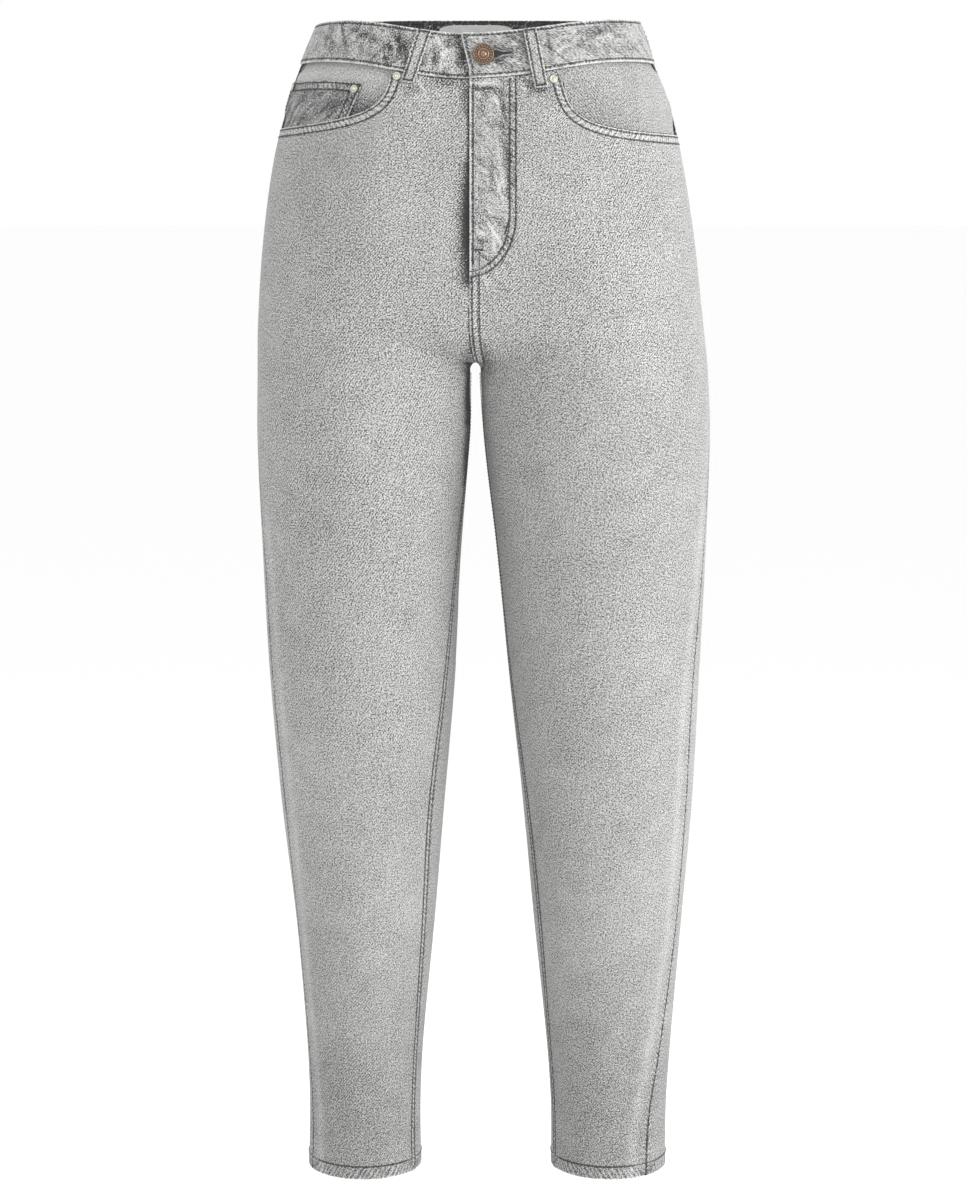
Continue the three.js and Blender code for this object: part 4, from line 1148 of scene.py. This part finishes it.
def loopPiece(loop):
    name, side, low = loop[0], loop[1], loop[5]
    down = loopLook["top"] + spread(low - loopLook["top"], loopLook["rows"])
    aside = spread(loopLook["width"], loopLook["columns"]) - loopLook["width"] / 2
    row, across = np.meshgrid(down, aside, indexing="ij")
    turn, lift = loopPlace(loop, row, across)
    fromEdge = np.minimum.reduce([loopLook["width"] / 2 - np.abs(across), row - down[0], down[-1] - row])
    fall = edgeFall(fromEdge, loopLook["wall"])
    pinch = -0.22 * np.exp(-((fromEdge - loopLook["stitchIn"]) / 0.8) ** 2)
    outer = skin(side, row, turn, lift + loopLook["wall"] + pinch - fall)
    inner = skin(side, row, turn, lift + fall)
    cloth = np.stack([across + 60 * len(name) + side * 300, row + 40], -1)
    return clothPiece(name, outer, inner, cloth, 0 * row, allRound(outer, "loopEdge"), "loop")


for loop in loops:
    loopPiece(loop)


print("back pockets and label")
patch = {"inner": 34, "outer": 154, "top": 118, "side": 238, "tip": 262, "tilt": 9, "lift": 0.8, "wall": 1.2,
         "narrow": 0.88, "columns": 52, "rows": 56, "hem": 14, "width": 110, "length": 120, "midLength": 122}
label = {"left": -36, "right": 26.5, "top": 3.5, "low": 30, "corner": 3, "wall": 1.0}


# Share across (0 to 1) and down (0 to 1) of a patch pocket, as x and row
def patchPlace(side, across, down):
    low = mix(patch["tip"], patch["side"], np.abs(across - 0.5) * 2)
    top = patch["top"] - patch["tilt"] * (across - 0.5)
    narrow = mix(1, patch["narrow"], down)
    half = (patch["outer"] - patch["inner"]) / 2 * narrow
    return side * ((patch["inner"] + patch["outer"]) / 2 + (across * 2 - 1) * half), mix(top, low, down)


def patchPiece(side):
    width, length = patch["width"], patch["length"]
    across = spread(100, patch["columns"]) / 100
    down = spread(length, patch["rows"]) / length
    down, across = np.meshgrid(down, across, indexing="ij")
    x, row = patchPlace(side, across, down)
    fromEdge = np.minimum.reduce([across * width, (1 - across) * width, down * length, (1 - down) * length])
    fall = edgeFall(fromEdge, patch["wall"])
    outer = facePoint(x, row, patch["lift"] + patch["wall"] - fall, "back")
    inner = facePoint(x, row, patch["lift"] - 0.2 + fall, "back")
    cloth = np.stack([x + 2500 * side, row], -1)
    name = "back_pocket_" + sideName[side].lower()
    return clothPiece(name, outer, inner, cloth, 0 * row, allRound(outer, "patchEdge"), "body")


def labelPiece():
    sink = bandLook["lift"] - bandLook["wall"] - 0.3
    down, across = np.meshgrid(np.linspace(0, 1, 14), np.linspace(-1, 1, 60), indexing="ij")
    row = mix(label["top"] + label["corner"] * np.abs(across) ** 6, label["low"], down)
    x = mix(label["left"], label["right"], across / 2 + 0.5)
    outer, inner = (facePoint(x, row, lift, "back") for lift in (sink, sink - label["wall"]))
    cloth = np.stack([x, row], -1)
    seams = [(inner[0], "plain")]
    return clothPiece("waist_label", outer, inner, cloth, 0 * row, seams, "label")


for side in (-1, 1):
    patchPiece(side)
labelPiece()


print("thread")
thread = {"pitch": 3.1, "fill": 0.86, "width": 0.45, "height": 0.3, "sides": 6}


# Lines sewn with one thread, gathered and made into one piece
class Sewing:
    def __init__(self, name, finish="thread"):
        self.name, self.finishName, self.points, self.faces, self.count = name, finish, [], [], 0

    def add(self, rings):
        # rings of points: for each stitch, each place along it and each side of the thread
        many, length, sides = rings.shape[:3]
        index = np.arange(many * length * sides).reshape(many, length, sides) + self.count
        after = np.roll(index, -1, 2)
        quads = np.stack([index[:, :-1], after[:, :-1], after[:, 1:], index[:, 1:]], -1)
        self.points.append(rings.reshape(-1, 3))
        self.faces += quads.reshape(-1, 4).tolist()
        self.faces += index[:, 0, ::-1].tolist() + index[:, -1].tolist()
        self.count += rings.size // 3

    # Stitches along a line that lies on the cloth
    def run(self, line, normals, pitch=None, lift=0.05, size=1.0):
        pitch = pitch or thread["pitch"]
        reached = np.concatenate([[0], np.cumsum(np.linalg.norm(np.diff(line, axis=0), axis=1))])
        many = max(1, int(reached[-1] / pitch))
        pitch = reached[-1] / many
        along = np.array([0.0, 0.12, 0.5, 0.88, 1.0]) * thread["fill"] + (1 - thread["fill"]) / 2
        where = (np.arange(many)[:, None] + along) * pitch
        centre = np.stack([np.interp(where, reached, line[:, k]) for k in range(3)], -1)
        up = np.stack([np.interp(where, reached, normals[:, k]) for k in range(3)], -1)
        up /= np.linalg.norm(up, axis=-1, keepdims=True)
        forward = np.gradient(centre, axis=1)
        aside = np.cross(forward, up)
        aside /= np.linalg.norm(aside, axis=-1, keepdims=True)
        arch = np.array([-0.25, 0.02, 0.16, 0.02, -0.25])[:, None] + lift
        thick = np.array([0.45, 0.95, 1.0, 0.95, 0.45])[:, None] * size
        angle = np.arange(thread["sides"]) * 2 * np.pi / thread["sides"]
        centre = centre + up * arch
        sideways = aside[:, :, None] * (np.cos(angle) * thread["width"] * thick)[..., None]
        rise = up[:, :, None] * (np.sin(angle) * thread["height"] * thick)[..., None]
        self.add(centre[:, :, None] + sideways + rise)

    # A dense bar of zigzag thread between two points
    def bar(self, start, end, normal, width, gap=0.42):
        length = np.linalg.norm(end - start)
        many = max(3, int(length / gap))
        aside = np.cross((end - start) / length, normal)
        count = np.arange(many + 1)[:, None]
        line = start + (end - start) * (count / many) + aside * width / 2 * np.where(count % 2, 1, -1)
        for a, b in zip(line[:-1], line[1:]):
            self.run(np.array([a, (a + b) / 2, b]), np.tile(normal, (3, 1)), pitch=99, lift=0.12, size=0.8)

    def finish(self):
        material = finishes[self.finishName]
        return makeMesh(self.name, np.concatenate(self.points), self.faces, material)


def onHalf(side, row, turn, lift, face="front"):
    row, turn = np.broadcast_arrays(np.asarray(row, float), np.asarray(turn, float))
    height, _ = markFields(barePoint(side, row, turn), row, face)
    return skin(side, row, turn, lift + height), outward(side, row, turn)


def onFace(x, row, lift, face):
    return facePoint(x, row, lift, face), faceNormal(x, row, face)


# A line moved sideways on the cloth
def moved(line, normals, distance):
    forward = np.gradient(line, axis=0)
    aside = np.cross(forward, normals)
    return line + aside / np.linalg.norm(aside, axis=1, keepdims=True) * distance


def sewBand():
    sewing = Sewing("waistband_stitches")
    for row in (bandLook["topStitch"], bandDrop - bandLook["lowStitch"]):
        first, last = (end[0] for end in bandEnds(np.full(1, row)))
        around = np.linspace(first, last - bandLook["stitchShort"], 1200)
        bare = bandSkin(around, row, 0)
        height = bandHeight(around, np.full(1200, row), bare)[0]
        lift = bandLook["lift"] + lapLift(around, bare[..., 0]) + height - bandLook["stitchSunk"]
        for face in (1, -1):
            depth = lift if face > 0 else lift - bandLook["wall"] + 0.25
            sewing.run(bandSkin(around, row, depth), bandNormal(around, np.full(1200, row)) * face)
    row = np.linspace(bandLook["topStitch"], bandDrop - bandLook["lowStitch"], 40)
    end = bandEnds(row)[1]
    x = bandSkin(end, row, 0)[:, 0] + bandLook["endStitch"] + 2.5 * np.clip(1 - (row - row[0]) / 4, 0, 1)
    line = facePoint(x, row, bandLook["lift"] + bandLook["lapRise"] - 0.05, "front")
    sewing.run(line, faceNormal(x, row, "front"))
    return sewing.finish()


def sewLoops():
    sewing = Sewing("loop_stitches")
    for loop in loops:
        side, low = loop[1], loop[5]
        row = np.linspace(loopLook["top"] + 1.5, low - 1.6, 60)
        for edge in (-1, 1):
            aside = np.full(60, edge * (loopLook["width"] / 2 - loopLook["stitchIn"]))
            turn, lift = loopPlace(loop, row, aside)
            sewing.run(skin(side, row, turn, lift + loopLook["wall"] - 0.12), outward(side, row, turn))
        for row in (low - 2.2, loopLook["top"] + 1.6):
            aside = np.linspace(-1, 1, 9) * (loopLook["width"] / 2 - 1.4)
            turn, lift = loopPlace(loop, np.full(9, row), aside)
            line = skin(side, row, turn, lift + loopLook["wall"])
            normal = outward(side, np.full(9, row), turn)[4]
            sewing.bar(line[0], line[-1], normal, 1.3)
    return sewing.finish()


scoopStitches = (1.9, 7.6)
flyTopRow = 35.5


def sewPockets():
    sewing = Sewing("pocket_stitches")
    for pocket in pockets.values():
        side = pocket["side"]
        row, turn = evenScoop(pocket, lambda length: np.linspace(3, length, 240))
        line, normals = onHalf(side, row, turn, 0)
        for distance in scoopStitches:
            sewing.run(moved(line, normals, side * distance), normals, lift=0.02)
    down = np.linspace(coinLook["top"] + 1, coinLook["low"], 60)
    share = (down - coinLook["top"]) / (coinLook["low"] - coinLook["top"])
    inner = turnAtX(-1, down, coinLook["inner"] + coinLook["lean"] * share, "front")
    outer = stepTurn(-1, down, np.full(60, 2.0), -coinLook["fromSide"])
    for distance in coinLook["sideStitches"]:
        for start, way in ((inner, 1), (outer, -1)):
            turn = stepTurn(-1, down, start, way * distance)
            sewing.run(*onHalf(-1, down, turn, coinLift(down, turn), "pocket"))
    for distance in coinLook["topStitches"]:
        row = coinLook["top"] + distance
        turn = np.linspace(*[float(np.interp(row, down, t)) for t in (inner, outer)], 60)
        sewing.run(*onHalf(-1, np.full(60, row), turn, coinLift(row, turn), "pocket"))
    return sewing.finish()


def sewFly():
    sewing = Sewing("fly_stitches")
    lift = flyLook["lift"] + flyLook["wall"]
    row = np.linspace(bandDrop + 4, flyLook["edgeEnd"], 120)
    x = np.full(120, flyLook["edge"] + flyLook["edgeStitch"])
    sewing.run(*onFace(x, row, lift, "front"))
    for k, low in enumerate(flyLook["stitchLow"]):
        inside = flyLook["stitchIn"] + k * flyLook["stitchApart"]
        straight = np.linspace(flyTopRow, flyLook["straight"], 80)
        bend = np.linspace(0, 1, 60)[1:] * np.pi / 2
        row = np.concatenate([straight, mix(flyLook["straight"], low, np.sin(bend))])
        width = flyLook["width"] - inside
        x = flyLook["edge"] + np.concatenate([np.full(80, width), width * np.cos(bend)])
        fromSeam = np.full(row.shape, inside * 0.9)
        swell = mix(flyLook["flat"], 1.0, ease(fromSeam, 0.3, flyLook["swollen"]))
        sewing.run(*onFace(x, row, flyLook["lift"] + flyLook["wall"] * swell, "front"))
    for start, end in flyLook["bars"]:
        ends = [facePoint(np.array([x]), np.array([r]), lift + 0.05, "front")[0] for x, r in (start, end)]
        normal = faceNormal(np.array([start[0]]), np.array([start[1]]), "front")[0]
        sewing.bar(ends[0], ends[1], normal, 1.6)
    row = np.linspace(flyLook["riseTop"], crotchDrop - 2, 90)
    seamX = innerEnd(1, row, np.full(90, True))[0]
    lift = mix(flyLook["lift"] + flyLook["wall"], 0.05, ease(row, flyLook["riseUnder"], flyLook["low"] + 1))
    for distance in flyLook["riseStitches"]:
        sewing.run(*onHalf(1, row, turnAtX(1, row, seamX + distance, "front"), lift))
    return sewing.finish()


inseamStitches, yokeStitches, riseStitches = (1.8, 6.4), (-1.8, -7.4), (1.8, 7.6)
patchStitches, hemStitch = (1.6, 7.6), 11.5


def sewSeams():
    sewing = Sewing("leg_stitches")
    for side in (-1, 1):
        row = np.linspace(crotchDrop + 8, outseam - 12, 700)
        start = innerSeam(side, row)
        for distance in inseamStitches:
            turn = stepTurn(side, row, start, distance)
            sewing.run(*onHalf(side, row, turn, felling["rise"]))
        around = np.linspace(0, 4, 500)
        low = np.full(500, outseam - hemStitch)
        sewing.run(*onHalf(side, low, around, form["hemExtra"] / 2))
    return sewing.finish()


def sewBack():
    sewing = Sewing("back_stitches")
    for side in (-1, 1):
        turn = np.linspace(2.02, 3.99, 200)
        row = yokeRow(side, turn)
        for distance in yokeStitches:
            sewing.run(*onHalf(side, row + distance, turn, 0.3, "back"))
        for inset in patchStitches:
            left, bottom = inset / patch["width"], 1 - inset / patch["midLength"]
            low = np.linspace(left, 1 - left, 60)[1:-1]
            across = np.concatenate([np.full(50, left), low, np.full(50, 1 - left)])
            fall = np.linspace(0.01, bottom, 50)
            down = np.concatenate([fall, np.full(58, bottom), np.linspace(bottom, 0.01, 50)])
            x, row = patchPlace(side, across, down)
            sewing.run(*onFace(x, row, patch["lift"] + patch["wall"] - 0.05, "back"))
        for inset in (2.0, patch["hem"]):
            across = np.linspace(0.01, 0.99, 60)
            x, row = patchPlace(side, across, np.full(60, inset / patch["length"]))
            sewing.run(*onFace(x, row, patch["lift"] + patch["wall"] - 0.05, "back"))
    row = np.linspace(bandDrop + 2, crotchDrop - 4, 200)
    seamX = innerEnd(1, row, np.full(200, False))[0]
    for distance in riseStitches:
        turn = turnAtX(1, row, seamX + distance, "back")
        sewing.run(*onHalf(1, row, turn, 0, "back"))
    return sewing.finish()


for sew in (sewBand, sewLoops, sewPockets, sewFly, sewSeams, sewBack):
    sew()


print("buttonhole")
hole = {"from": 9.5, "to": 25, "row": 16.8, "eye": 2.4, "slit": 0.5, "purl": 1.9, "pitch": 0.75}


# A keyhole: a round eye near the edge and a narrow slit, with dense stitches all round
def buttonhole():
    sewing = Sewing("buttonhole_stitches", "purl")
    lift = bandLook["lift"] + bandLook["lapRise"] + 0.05
    share = np.linspace(0, 1, 60)
    rounded = np.sqrt(np.clip(1 - ((share - 0.5) * 2) ** 8, 0, 1))
    half = mix(hole["eye"], hole["slit"], ease(share, 0.1, 0.55)) * rounded
    x = mix(hole["from"], hole["to"], share)
    outline = np.concatenate([np.stack([x, -half], 1), np.stack([x, half], 1)[::-1]])
    reached = np.concatenate([[0], np.cumsum(np.linalg.norm(np.diff(outline, axis=0), axis=1))])
    wanted = np.arange(0, reached[-1], hole["pitch"])
    place = np.stack([np.interp(wanted, reached, outline[:, k]) for k in range(2)], 1)
    ahead = np.gradient(place, axis=0)
    aside = np.stack([ahead[:, 1], -ahead[:, 0]], 1) / np.linalg.norm(ahead, axis=1, keepdims=True)
    for start, out in zip(place, aside):
        ends = start + out * np.array([[0.1], [0.55], [1.0]]) * hole["purl"]
        line, normals = onFace(ends[:, 0], ends[:, 1] + hole["row"], lift, "front")
        sewing.run(line, normals, pitch=99, lift=0.1, size=0.7)
    return sewing.finish()


buttonhole()


print("button and rivets")
buttonLook = {"x": 2, "segments": 96, "dots": 18, "dotRing": 6.2, "dotSize": 0.8, "dotBase": 2.95}
buttonRise = [
    (0, 0.3), (4.6, 0.3), (4.6, 1.3), (7.4, 1.4), (8.2, 1.6), (8.6, 2.1), (8.65, 2.5), (8.4, 3.0),
    (8.1, 3.2), (7.8, 3.2), (7.5, 3.0), (7.2, 2.9), (4.8, 2.9), (4.6, 3.0), (4.3, 3.3), (3.9, 3.35),
    (3.6, 3.2), (3.4, 2.95), (2.7, 2.9), (2.5, 3.1), (2.0, 3.5), (1.4, 3.7), (0, 3.8),
]
rivetRise = [
    (0, 0.3), (3.4, 0.3), (3.5, 0.5), (3.4, 0.85), (3.1, 1.15), (2.6, 1.35), (2.2, 1.3), (1.8, 1.15),
    (1.4, 1.2), (1.15, 1.6), (1.0, 1.95), (0.7, 2.1), (0.45, 1.9), (0.3, 1.5), (0, 1.4),
]


# Turned metal on the cloth, with its axis along the cloth's normal
def turned(name, profile, segments, place, normal, material, node, extras=()):
    profile = np.array(profile, float)
    angle = np.arange(segments) * 2 * np.pi / segments
    inner = profile[1:-1]
    rings = np.stack([
        inner[:, :1] * np.cos(angle), inner[:, :1] * np.sin(angle), np.repeat(inner[:, 1:], segments, 1),
    ], -1)
    points = np.concatenate([[[0, 0, profile[0, 1]]], rings.reshape(-1, 3), [[0, 0, profile[-1, 1]]]])
    index = np.arange(rings.shape[0] * segments).reshape(-1, segments) + 1
    after = np.roll(index, -1, 1)
    faces = np.stack([index[:-1], after[:-1], after[1:], index[1:]], -1).reshape(-1, 4).tolist()
    last = len(points) - 1
    faces += [[0, b, a] for a, b in zip(index[0], after[0])]
    faces += [[last, a, b] for a, b in zip(index[-1], after[-1])]
    for extra, more in extras:
        faces += [[k + len(points) for k in face] for face in more]
        points = np.concatenate([points, extra])
    relief = (points[:, 2] - points[:, 2].min()) / np.ptp(points[:, 2])
    up = np.array(normal, float)
    aside = np.cross([0, 0, 1.0], up)
    aside /= np.linalg.norm(aside)
    basis = np.stack([aside, np.cross(up, aside), up])
    piece = makeMesh(name, points @ basis + place, faces, material)
    keep(piece.data, "relief", relief)
    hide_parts(node)
    return piece


# Small domes in a ring
def domes(count, ring, radius, height):
    found = []
    turn = np.arange(8) * np.pi / 4
    circle = np.stack([np.cos(turn), np.sin(turn), 0 * turn], -1) * radius
    low, high = circle - [0, 0, radius * 0.3], circle * 0.7 + [0, 0, radius * 0.4]
    faces = [[j, (j + 1) % 8, 8 + (j + 1) % 8, 8 + j] for j in range(8)]
    faces += [[8 + j, 8 + (j + 1) % 8, 16] for j in range(8)] + [[7 - j for j in range(8)]]
    for angle in np.arange(count) * 2 * np.pi / count:
        centre = np.array([ring * np.cos(angle), ring * np.sin(angle), height])
        found.append((np.concatenate([low, high, [[0, 0, radius * 0.62]]]) + centre, faces))
    return found


rivetLook = {"segments": 40, "coinRise": 0.35}
rivets = [
    # name, side, x and row, what it lies on
    ("rivet_pocket_right", -1, -68, 38, "front"), ("rivet_pocket_left", 1, 58.5, 41, "front"),
    ("rivet_coin_outer", -1, -156.5, 53, "coin"), ("rivet_coin_inner", -1, -103.5, 53.3, "coin"),
]


def addMetal():
    row = bandDrop / 2
    turn = turnAtX(1, row, buttonLook["x"], "front")
    place = skin(1, row, turn, bandLook["lift"] + bandLook["lapRise"])
    dots = domes(buttonLook["dots"], buttonLook["dotRing"], buttonLook["dotSize"], buttonLook["dotBase"])
    turned("shank_button", buttonRise, buttonLook["segments"], place, outward(1, row, turn),
           finishes["copper"], "button", dots)
    for node, side, x, row, base in rivets:
        turn = turnAtX(side, row, x, "front")
        lift = coinLift(row, turn) + rivetLook["coinRise"] if base == "coin" else 0
        turned(node + "_metal", rivetRise, rivetLook["segments"], skin(side, row, turn, lift),
               outward(side, row, turn), finishes["brass"], node)


addMetal()


print("stage")


def makeFloor():
    size = studio["floorSize"] / 2
    low = -studio["floorDrop"]
    mesh = bpy.data.meshes.new("floor")
    corners = [(-size, -size, low), (size, -size, low), (size, size, low), (-size, size, low)]
    mesh.from_pydata(corners, [], [(0, 1, 2, 3)])
    paint = Paint("pale_floor")
    mesh.materials.append(paint.finish({"Base Color": studio["floorColour"], "Roughness": 0.9}))
    floor = bpy.data.objects.new("floor", mesh)
    bpy.context.collection.objects.link(floor)


makeCamera()
makeStudio()
makeFloor()
